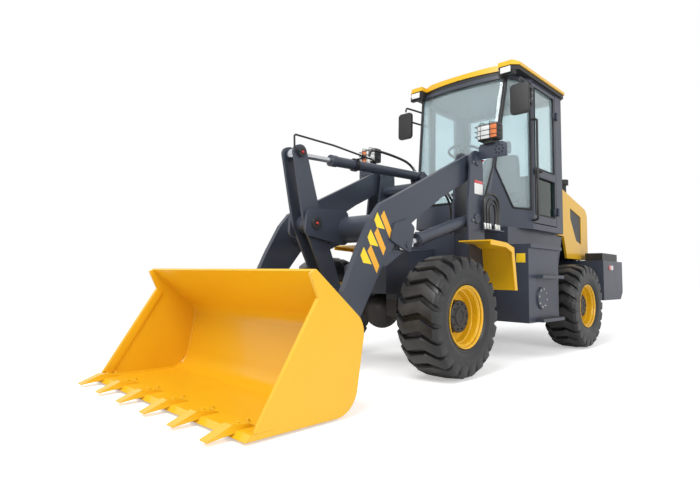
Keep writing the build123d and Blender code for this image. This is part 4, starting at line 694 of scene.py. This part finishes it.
# Front frame: a welded box girder with the four tower plates that carry the arms. Each pin's end is
# a turned cap, kept from turning by a small plate and a bolt.
coat(slate, "front_frame")
coat(cast_black, "front_axle")
red_cap = paint("red plastic cap", (0.5, 0.02, 0.015), rough=0.4, coat=0.3, edge=0.001, dust=0)
axis = 0.0001


def lathe(profile, steps, place=Matrix()):
    """A closed outline of (radius, height) turned round Z, then put in its place.
    An outline that reaches the middle stops at the radius axis, so that its faces stay apart."""
    work = bmesh.new()
    turns = [2 * pi * i / steps for i in range(steps)]
    rows = [[work.verts.new((r * cos(t), r * sin(t), h)) for t in turns] for r, h in profile]
    for a, b in zip(rows, rows[1:] + rows[:1]):
        for i in range(steps):
            j = (i + 1) % steps
            work.faces.new((a[i], a[j], b[j], b[i]))
    bmesh.ops.remove_doubles(work, verts=work.verts, dist=1e-5)
    mesh = solid(work)
    mesh.transform(place)
    return mesh


def turned(profile, centre, way, steps=40):
    """A closed outline of (radius, height) turned round the line from centre along way."""
    turn = Vector(way).to_track_quat("Z", "Y").to_matrix().to_4x4()
    return lathe(profile, steps, Matrix.Translation(centre) @ turn)


def cap(radius, height, edge=0.003):
    """The outline of a round cap with a small chamfer and a shallow hollow in its middle."""
    return [(axis, 0), (radius, 0), (radius, height - edge), (radius - edge, height), (radius * 0.45, height),
            (radius * 0.4, height - edge), (axis, height - edge)]


def outward(place):
    """The direction along Y from the middle of the loader to a place."""
    return (0, 1 if place.y > 0 else -1, 0)


def pin_caps(name, places, radius, body, material=slate):
    """Round pin ends, each at a place and facing outwards."""
    meshes = [turned(cap(radius, 0.012), place, outward(place)) for place in places]
    hung(name, joined(*meshes), material, body)


tower_y = 0.5925
pin_ends = [at(x, side * tower_y, z) for side in (1, -1) for x, z in ((0.680, 1.775), (0.690, 1.263))]
pin_caps("tower_pins", pin_ends, 0.045, "front_body")
keeper_bolts = [p + Vector((0.068, 0, -0.02)) for p in pin_ends]
bolts("keeper_bolts", keeper_bolts, [outward(p) for p in pin_ends], 0.013, "front_body")
plates = []
for p in pin_ends:
    x = p.x + hinge_back
    plates.append(brick((x + 0.01, p.y - 0.004, p.z - 0.035), (x + 0.09, p.y + 0.004, p.z - 0.005), 0.001))
hung("keeper_plates", joined(*plates), slate, "front_body")
dome = [(axis, 0), (0.008, 0), (0.008, 0.014), (0.004, 0.02), (axis, 0.02)]
domes = [turned(dome, at(0.60, side * tower_y, 1.79), (0, side, 0), 16) for side in (1, -1)]
hung("grease_caps", joined(*domes), red_cap, "front_body")
for side, hand in hands:
    low, high = span(side, tower_y, tower_y + 0.0012)
    sign = brick((0.590, low, 1.480), (0.730, high, 1.575), 0.0005)
    hung(f"tower_sign_{hand}", sign, white_lens, "front_body")
    band = brick((0.590, low, 1.576), (0.730, high, 1.602), 0.0005)
    hung(f"tower_sign_band_{hand}", band, red_lens, "front_body")

# Hydraulic hoses: wire-braided rubber with crimped steel ends, looped from the valve behind the tower
# over the hinge, and three arched over a bracket on the tower's side. Each is fixed at both ends.
hose_rubber = paint("hose rubber", (0.013, 0.013, 0.014), rough=0.45, coat=0.1, grain=700, depth=0.3,
                    edge=0.001, dust=0.1)
crimp = [(axis, 0), (0.016, 0), (0.016, 0.012), (0.0135, 0.014), (0.0135, 0.05), (0.011, 0.054),
         (axis, 0.054)]


def hose(name, points, body, radius=0.0105):
    """A hose through points measured from the hinge, with a crimped fitting on each end."""
    pipe(name, points, radius, hose_rubber, body)
    ends = []
    for first, second in ((points[0], points[1]), (points[-1], points[-2])):
        way = at(*second) - at(*first)
        ends.append(turned(crimp, at(*first), way, 20))
    hung(f"{name}_ends", joined(*ends), zinc, body)


valve_x = 0.566
loops = ((0.20, 0.05, 0.00), (0.26, 0.06, 0.05), (0.32, 0.18, 0.10), (0.385, 0.22, 0.02))
for i, (y, reach, drop) in enumerate(loops):
    rearmost = valve_x - reach
    route = [(valve_x, y, 1.09 - drop), (valve_x - reach * 0.5, y, 1.15 - drop),
             (rearmost, y + 0.01, 1.28 - drop), (rearmost, y + 0.01, 1.42 - drop),
             (0.60 - reach * 0.3, y, 1.53 - drop), (0.655, y, 1.56 - drop * 0.5)]
    hose(f"loop_hose_{i}", route, "front_body")
bracket_top, arch_x = 1.178, 0.482
hung("hose_bracket", brick((0.335, 0.575, 1.168), (0.632, 0.665, bracket_top), 0.002), slate, "front_body")
for i, half in enumerate((0.125, 0.088, 0.050)):
    y, high = 0.622 + i * 0.004, 1.500 - i * 0.045
    climb = [(half, bracket_top), (half, 1.25), (half * 1.1, high - 0.09), (half * 0.7, high)]
    route = [(arch_x + x, y, z) for x, z in climb] + [(arch_x - x, y, z) for x, z in reversed(climb)]
    hose(f"side_hose_{i}", route, "front_body", 0.0125)

# Front mudguards: bent yellow plate with a lip, held to the frame's brackets by two bolts each
# from above.
coat(yellow, "front_guards")
guard_bolts = [at(x, side * 0.70, 1.046) for x in (0.62, 0.92) for side in (1, -1)]
bolts("guard_bolts", guard_bolts, (0, 0, 1), 0.012, "front_body")

# Headlamps: a moulded case with a clear lamp inboard and an orange indicator outboard, a wire guard
# before them, on a plate beside the tower with a ring of holes, drawn as discs of painted shade.
orange_lens = paint("orange lens", (0.82, 0.22, 0.05), rough=0.18, coat=1, grain=150, depth=0.6,
                    edge=0.002, dust=0)
# Painted shade: a near-black for the flat discs that stand in for the dark inside the bracket's holes.
hole_shade_paint = paint("shade in a hole", (0.004, 0.004, 0.004), rough=0.9, coat=0, edge=0.0005, dust=0)
lens_back, lens_foot, lens_top = 0.69, 1.957, 2.079
hole_circle, hole_y, hole_z = 0.038, 0.79, 1.858
hole = [(axis, 0), (0.0075, 0), (0.0075, 0.001), (axis, 0.001)]
wire = 0.0032
for side, hand in hands:
    low, high = span(side, 0.6, 0.8)
    case = brick((0.595, low, 1.943), (0.695, high, 2.093), 0.018)
    hung(f"lamp_case_{hand}", case, plastic, "front_body", "headlamps")
    low, high = span(side, 0.612, 0.722)
    front_glass = brick((lens_back, low, lens_foot), (0.703, high, lens_top), 0.006)
    hung(f"lamp_lens_{hand}", front_glass, clear_lens, "front_body")
    low, high = span(side, 0.730, 0.788)
    indicator = brick((lens_back, low, lens_foot), (0.705, high, lens_top), 0.006)
    hung(f"lamp_indicator_{hand}", indicator, orange_lens, "front_body")
    low, high = span(side, 0.592, 0.862)
    plate = [(low, 1.79), (high, 1.79), (high, 1.895), (high - 0.04, 1.923), (low + 0.02, 1.923), (low, 1.90)]
    bracket = prism(plate, 0.012, facing_ahead(0.644), 0.002)
    hung(f"lamp_bracket_{hand}", bracket, slate, "front_body", "headlamps")
    low, high = span(side, 0.65, 0.75)
    foot = brick((0.62, low, 1.915), (0.68, high, 1.947), 0.004)
    hung(f"lamp_foot_{hand}", foot, black_sheet, "front_body", "headlamps")
    centre = at(0.6561, side * hole_y, hole_z)
    spots = [centre + hole_circle * Vector((0, cos(t * pi / 4), sin(t * pi / 4))) for t in range(8)]
    # The holes are not cut: flat near-black discs on the plate are painted shade for the dark inside each
    # hole.
    holes = [turned(hole, spot, (1, 0, 0), 16) for spot in [*spots, centre]]
    hung(f"bracket_hole_shade_{hand}", joined(*holes), hole_shade_paint, "front_body")
    for i, z in enumerate((1.975, 2.018, 2.061)):
        bar = [(0.64, 0.596), (0.73, 0.596), (0.735, 0.61), (0.735, 0.79), (0.73, 0.804), (0.64, 0.804)]
        pipe(f"lamp_guard_{hand}_{i}", [(x, side * y, z) for x, y in bar], wire, black_sheet, "front_body")
    for i, y in enumerate((side * 0.655, side * 0.745)):
        bow = [(0.64, 1.938), (0.73, 1.938), (0.737, 1.96), (0.737, 2.08), (0.73, 2.099), (0.64, 2.099)]
        pipe(f"lamp_wire_{hand}_{i}", [(x, y, z) for x, z in bow], wire, black_sheet, "front_body")

# Lift arms: thick plate cut to shape and joined by a welded cross tube, painted like the frame, with
# three slanted stripes in two colours at the knee.
coat(slate, "lift_arms")
amber_stripe = paint("amber stripe", (0.86, 0.42, 0.03), rough=0.4, coat=0.1, cloud=0.03, edge=0.0004,
                     dust=0)
yellow_stripe = paint("yellow stripe", (0.92, 0.68, 0.02), rough=0.4, coat=0.1, cloud=0.03, edge=0.0004,
                      dust=0)


def slab(points, y, depth, bevel=0.0):
    """An outline in X and Z measured from the hinge, with its outer face at y and its body inwards."""
    away = 1 if y > 0 else -1
    turn = Matrix(((1, 0, 0, -hinge_back), (0, 0, -away, y), (0, 1, 0, 0), (0, 0, 0, 1)))
    mesh = prism(points, depth, turn, bevel)
    if away < 0:
        mesh.flip_normals()
    return mesh


for side, hand in hands:
    yellow_bands, amber_bands = [], []
    for i in range(3):
        x, z = i * 0.067, -i * 0.1255
        upper = [(x + 1.931, z + 1.197), (x + 1.961, z + 1.140), (x + 1.934, z + 1.090),
                 (x + 1.849, z + 1.082)]
        lower = [(x + 1.860, z + 1.215), (x + 1.893, z + 1.172), (x + 1.796, z + 1.021),
                 (x + 1.769, z + 1.074)]
        yellow_bands.append(slab(upper, side * 0.5326, 0.0005))
        amber_bands.append(slab(lower, side * 0.5325, 0.0004))
    hung(f"yellow_stripes_{hand}", joined(*yellow_bands), yellow_stripe, "boom")
    hung(f"amber_stripes_{hand}", joined(*amber_bands), amber_stripe, "boom")

# Lift cylinders: steel tubes with a screwed gland, painted like the frame, and chromed rods. The
# loader's pins are steel bar, painted over with the arms.
coat(slate, "lift_barrels")
chrome = paint("hard chrome", (0.60, 0.62, 0.65), rough=0.17, coat=0, metal=1, cloud=0.05, grain=900,
               depth=0.03, edge=0.001, dust=0.05)
coat(chrome, "lift_rods")
coat(slate, "link_pin", "rocker_pin", "bucket_pins")

# Rocker: two plates on a hub that turn between the arms, with black caps on the pins and a red
# plastic plug in the middle of each cap.
coat(slate, "rocker")
hub_ends = [at(2.115, side * 0.104, 1.128) for side in (1, -1)]
top_ends = [at(2.255, side * 0.087, 1.632) for side in (1, -1)]
pin_caps("rocker_hub_caps", hub_ends, 0.046, "boom", cast_black)
pin_caps("rocker_top_caps", top_ends, 0.034, "rocker_body", cast_black)
plug = [(axis, 0), (0.011, 0), (0.011, 0.004), (0.007, 0.010), (axis, 0.010)]
for name, ends, body in (("hub_plugs", hub_ends, "boom"), ("top_plugs", top_ends, "rocker_body")):
    plugs = [turned(plug, p + Vector(outward(p)) * 0.010, outward(p), 16) for p in ends]
    hung(name, joined(*plugs), red_cap, body)

# Tilt cylinder: a long tube above the arms, fed by a hose along its back. A thin rod beside it slides
# in a clamp and shows the driver how the bucket lies.
coat(slate, "tilt_barrel")
coat(chrome, "tilt_rod")
feed = [(1.45, 1.705), (1.45, 1.80), (1.38, 1.835), (1.10, 1.83), (0.86, 1.80), (0.80, 1.735)]
hose("tilt_hose", [(x, 0, z) for x, z in feed], "tilt_barrel_body", 0.0115)
rod_y, rod_radius = 0.100, 0.0075
rod_line = [(2.318, 1.640), (2.334, 1.655), (2.338, 1.732), (2.327, 1.743), (1.952, 1.739), (1.500, 1.708)]
route = [(2.255, 0.092, 1.632), *[(x, rod_y, z) for x, z in rod_line]]
pipe("level_rod", route, rod_radius, black_sheet, "tilt_rod_body", order=2)
along = (1.505, 0, -0.067)
clamp = [(0.045, -0.015), (0.054, -0.015), (0.054, 0.015), (0.045, 0.015)]
bush = [(0.008, -0.012), (0.016, -0.012), (0.016, 0.012), (0.008, 0.012)]
guide = joined(turned(clamp, at(1.62, 0, 1.660), along), turned(bush, at(1.62, rod_y, 1.716), along, 20),
               brick((1.608, 0.020, 1.698), (1.632, 0.106, 1.706), 0.001))
hung("level_guide", guide, black_sheet, "tilt_barrel_body")

# Tie link: a forged bar from the rocker's foot to the back of the bucket, with a bored eye at each
# end, painted like the frame.
coat(slate, "tie_link")

# Bucket: welded plate, yellow inside and out, with a bevelled blade and six bolted teeth. A weld bead
# runs inside each cheek, and a wear strip stiffens the cheek's front edge.
coat(yellow, "bucket", "bucket_edge")
tooth_count, tooth_pitch = 6, 0.315
teeth = [at(3.235, (i - (tooth_count - 1) / 2) * tooth_pitch, 0.062) for i in range(tooth_count)]
tooth_bolts = [p + Vector((dx, 0, 0)) for p in teeth for dx in (-0.115, -0.06)]
bolts("tooth_bolts", tooth_bolts, (0, 0, 1), 0.016, "bucket_body", yellow)


def rounded(before, corner, after, radius, steps=12):
    """Places on the arc that rounds a corner of a line in X and Z."""
    corner = Vector(corner)
    u, v = (Vector(before) - corner).normalized(), (Vector(after) - corner).normalized()
    half = u.angle(v) / 2
    centre = corner + (u + v).normalized() * radius / sin(half)
    first, last = corner + u * radius / tan(half) - centre, corner + v * radius / tan(half) - centre
    return [centre + first.slerp(last, i / steps).normalized() * radius for i in range(steps + 1)]


blade, heel, back, lip = (3.075, 0.031), (2.554, 0.031), (2.476, 0.484), (2.843, 0.770)
heel_round, back_round = 0.136, 0.116
line = [blade, *rounded(blade, heel, back, heel_round), *rounded(heel, back, lip, back_round), lip]
strip = [(2.812, 0.634), (3.160, 0.064), (3.112, 0.036), (2.764, 0.606)]
for side, hand in hands:
    bead = [(x, side * 0.9055, z) for x, z in line]
    pipe(f"bucket_weld_{hand}", bead, 0.006, yellow, "bucket_body", order=2)
    hung(f"side_strip_{hand}", slab(strip, side * 0.9072, 0.010, 0.002), yellow, "bucket_body")

# Steering cylinders: a short pair in the hinge, pinned to both frames, sprayed black, with chromed
# rods.
coat(cast_black, "steer_barrel_left", "steer_barrel_right")
coat(chrome, "steer_rod_left", "steer_rod_right")

# Tyres: deep zigzag lugs round a smooth carcass, with rings moulded in the side wall. Their tops are
# scuffed lighter.
tread = bpy.data.materials.new("tyre rubber")
tread.use_nodes = True
tread.diffuse_color = (0.03, 0.03, 0.03, 1)
nodes, links = tread.node_tree.nodes, tread.node_tree.links
shader = nodes["Principled BSDF"]
where = nodes.new("ShaderNodeTexCoord")
blotch = nodes.new("ShaderNodeTexNoise")
blotch.inputs["Scale"].default_value = 14
blotch.inputs["Detail"].default_value = 6
links.new(where.outputs["Object"], blotch.inputs["Vector"])
worn = nodes.new("ShaderNodeAttribute")
worn.attribute_name = "worn"
share = nodes.new("ShaderNodeMath")
share.operation = "MULTIPLY"
links.new(worn.outputs["Fac"], share.inputs[0])
links.new(blotch.outputs["Fac"], share.inputs[1])
tone = nodes.new("ShaderNodeMix")
tone.data_type = "RGBA"
tone.inputs[6].default_value = (0.011, 0.0115, 0.013, 1)
tone.inputs[7].default_value = (0.060, 0.057, 0.053, 1)
links.new(share.outputs[0], tone.inputs[0])
links.new(tone.outputs[2], shader.inputs["Base Color"])
matt = nodes.new("ShaderNodeMapRange")
matt.inputs["To Min"].default_value = 0.30
matt.inputs["To Max"].default_value = 0.52
links.new(blotch.outputs["Fac"], matt.inputs["Value"])
links.new(matt.outputs["Result"], shader.inputs["Roughness"])
fine = nodes.new("ShaderNodeTexNoise")
fine.inputs["Scale"].default_value = 220
links.new(where.outputs["Object"], fine.inputs["Vector"])
bump = nodes.new("ShaderNodeBump")
bump.inputs["Strength"].default_value = 0.2
bump.inputs["Distance"].default_value = 0.001
links.new(fine.outputs["Fac"], bump.inputs["Height"])
links.new(bump.outputs["Normal"], shader.inputs["Normal"])


def lug_ring_tree():
    """Copies of a mesh turned evenly round the Y axis."""
    tree = bpy.data.node_groups.new("lug ring", "GeometryNodeTree")
    tree.interface.new_socket("Lug", in_out="INPUT", socket_type="NodeSocketGeometry")
    tree.interface.new_socket("Count", in_out="INPUT", socket_type="NodeSocketInt")
    tree.interface.new_socket("Material", in_out="INPUT", socket_type="NodeSocketMaterial")
    tree.interface.new_socket("Ring", in_out="OUTPUT", socket_type="NodeSocketGeometry")
    nodes, links = tree.nodes, tree.links
    given = nodes.new("NodeGroupInput")
    made = nodes.new("NodeGroupOutput")
    points = nodes.new("GeometryNodePoints")
    links.new(given.outputs["Count"], points.inputs["Count"])
    index = nodes.new("GeometryNodeInputIndex")
    share = nodes.new("ShaderNodeMath")
    share.operation = "DIVIDE"
    links.new(index.outputs[0], share.inputs[0])
    links.new(given.outputs["Count"], share.inputs[1])
    angle = nodes.new("ShaderNodeMath")
    angle.operation = "MULTIPLY"
    angle.inputs[1].default_value = 2 * pi
    links.new(share.outputs[0], angle.inputs[0])
    turn = nodes.new("ShaderNodeCombineXYZ")
    links.new(angle.outputs[0], turn.inputs["Y"])
    place = nodes.new("GeometryNodeInstanceOnPoints")
    links.new(points.outputs[0], place.inputs["Points"])
    links.new(given.outputs["Lug"], place.inputs["Instance"])
    links.new(turn.outputs[0], place.inputs["Rotation"])
    real = nodes.new("GeometryNodeRealizeInstances")
    links.new(place.outputs["Instances"], real.inputs["Geometry"])
    skin = nodes.new("GeometryNodeSetMaterial")
    links.new(real.outputs["Geometry"], skin.inputs["Geometry"])
    links.new(given.outputs["Material"], skin.inputs["Material"])
    links.new(skin.outputs["Geometry"], made.inputs["Ring"])
    return tree


ring_nodes = lug_ring_tree()
tyre_r, tyre_half, lug_deep, lug_long, lug_count = 0.459, 0.1745, 0.034, 0.080, 22
root_r = tyre_r - lug_deep
axle_high = 0.46


def lug_mesh():
    """One lug at the foot of the tyre: a bar across it that bends twice and is cut down at its ends."""
    shoulder, shoulder_drop, sunk, flare = 0.75, 0.040, 0.012, 0.008
    foot_from, foot_slope = 0.8, 0.32
    work = bmesh.new()
    line = [(tyre_half, -0.046), (0.150, -0.040), (0.045, 0.021), (-0.098, -0.012), (-0.150, 0.034),
            (-tyre_half, 0.042)]
    rows = []
    for y, x in line:
        share = abs(y) / tyre_half
        high = tyre_r if share < shoulder else tyre_r - (share - shoulder) / (1 - shoulder) * shoulder_drop
        foot = root_r - sunk - max(0, share - foot_from) * foot_slope
        half = lug_long / 2
        base = half + flare
        section = ((x - base, y, -foot), (x - half, y, -high), (x + half, y, -high), (x + base, y, -foot))
        rows.append([work.verts.new(c) for c in section])
    for a, b in zip(rows, rows[1:]):
        for i in range(4):
            j = (i + 1) % 4
            work.faces.new((a[i], a[j], b[j], b[i]))
    work.faces.new(rows[0])
    work.faces.new(rows[-1][::-1])
    for vertex in work.verts:
        reach = hypot(vertex.co.x, vertex.co.z)
        if reach > tyre_r:
            vertex.co.z *= tyre_r / reach
    mesh = solid(work, 0.0045, 2)
    scuffs = []
    for vertex in mesh.vertices:
        depth = tyre_r + vertex.co.z
        if depth < 0.008 and -0.11 < vertex.co.y < 0.07:
            scuffs.append(1.0)
        else:
            scuffs.append(0.25 if depth < 0.014 else 0.0)
    tops = mesh.attributes.new("worn", "FLOAT", "POINT")
    tops.data.foreach_set("value", scuffs)
    return mesh


def wheel_place(x, y):
    """Where a wheel goes, turned round on the right so that its outer side faces out."""
    turn = Matrix.Identity(4) if y > 0 else Matrix.Rotation(pi, 4, "Z")
    return Matrix.Translation(at(x, y, axle_high)) @ turn


wall = [(0.2365, 0.1485), (0.243, 0.156), (0.252, 0.1625), (0.258, 0.166), (0.2605, 0.1635), (0.266, 0.1665),
        (0.300, 0.1725), (0.302, 0.1710), (0.306, 0.1730), (0.345, 0.1742), (0.365, 0.1738), (0.368, 0.1722),
        (0.374, 0.1728), (0.395, 0.167), (0.412, 0.150), (0.422, 0.125), (0.4255, 0.09), (0.4265, 0.0)]
carcass = wall + [(r, -y) for r, y in reversed(wall[:-1])] + [(0.2165, -0.1475), (0.2165, 0.1475)]
on_edge = Matrix.Rotation(-pi / 2, 4, "X")
wheels = {"fl": (1.255, 0.679), "fr": (1.255, -0.679), "rl": (-1.255, 0.679), "rr": (-1.255, -0.679)}
for name, (x, y) in wheels.items():
    place = wheel_place(x, y)
    body = lathe(carcass, 120, place @ on_edge)
    body.attributes.new("worn", "FLOAT", "POINT")
    hung(f"carcass_{name}", body, tread, f"wheel_{name}", f"tyre_{name}", bend=22)
    lugs = grown(f"lugs_{name}", lug_mesh(), ring_nodes, {"Count": lug_count, "Material": tread})
    lugs.transform(place)
    hung(f"lugs_{name}", lugs, tread, f"wheel_{name}", f"tyre_{name}")

# Rims: deep pressed steel, yellow, with a loose flange and lock ring, round a black planetary hub
# with ten bolts.
dish_back = [(0.2158, 0.1485), (0.2158, -0.1485), (0.2345, -0.1485), (0.2345, -0.160), (0.204, -0.160),
             (0.200, 0.010), (0.118, 0.010)]
dish = [(0.118, 0.026), (0.170, 0.026), (0.186, 0.031), (0.190, 0.040), (0.191, 0.068), (0.194, 0.076),
        (0.2025, 0.080), (0.2035, 0.128), (0.2075, 0.1325), (0.2075, 0.1365), (0.2115, 0.141),
        (0.2155, 0.141), (0.2165, 0.1465), (0.2225, 0.1485), (0.2255, 0.155), (0.2300, 0.1595),
        (0.2340, 0.1580), (0.2352, 0.1530), (0.2345, 0.1485), *dish_back]
hub = [(axis, 0.098), (0.040, 0.098), (0.044, 0.104), (0.068, 0.104), (0.072, 0.097), (0.112, 0.097),
       (0.120, 0.092), (0.1215, 0.085), (0.1215, 0.074), (0.105, 0.070), (0.103, 0.030), (0.126, 0.027),
       (0.126, 0.011), (0.098, 0.010), (0.098, -0.058), (0.0455, -0.058), (0.0455, 0.0115), (axis, 0.0115)]
hub_black = paint("black hub", (0.009, 0.009, 0.010), rough=0.42, coat=0.05, grain=120, depth=0.2, dust=0.05)
hub_face, hub_circle, hub_bolt_count = 0.0955, 0.096, 10
for name, (x, y) in wheels.items():
    place = wheel_place(x, y)
    rim_mesh = lathe(dish, 96, place @ on_edge)
    hung(f"rim_{name}_dish", rim_mesh, yellow, f"wheel_{name}", f"rim_{name}", bend=28)
    hub_mesh = lathe(hub, 64, place @ on_edge)
    hung(f"hub_{name}", hub_mesh, hub_black, f"wheel_{name}", f"rim_{name}", bend=28)
    heads = [place @ p for p in ring(Vector((0, hub_face, 0)), hub_circle, hub_bolt_count)]
    bolts(f"hub_bolts_{name}", heads, outward(place.translation), 0.0125, f"wheel_{name}", hub_black)
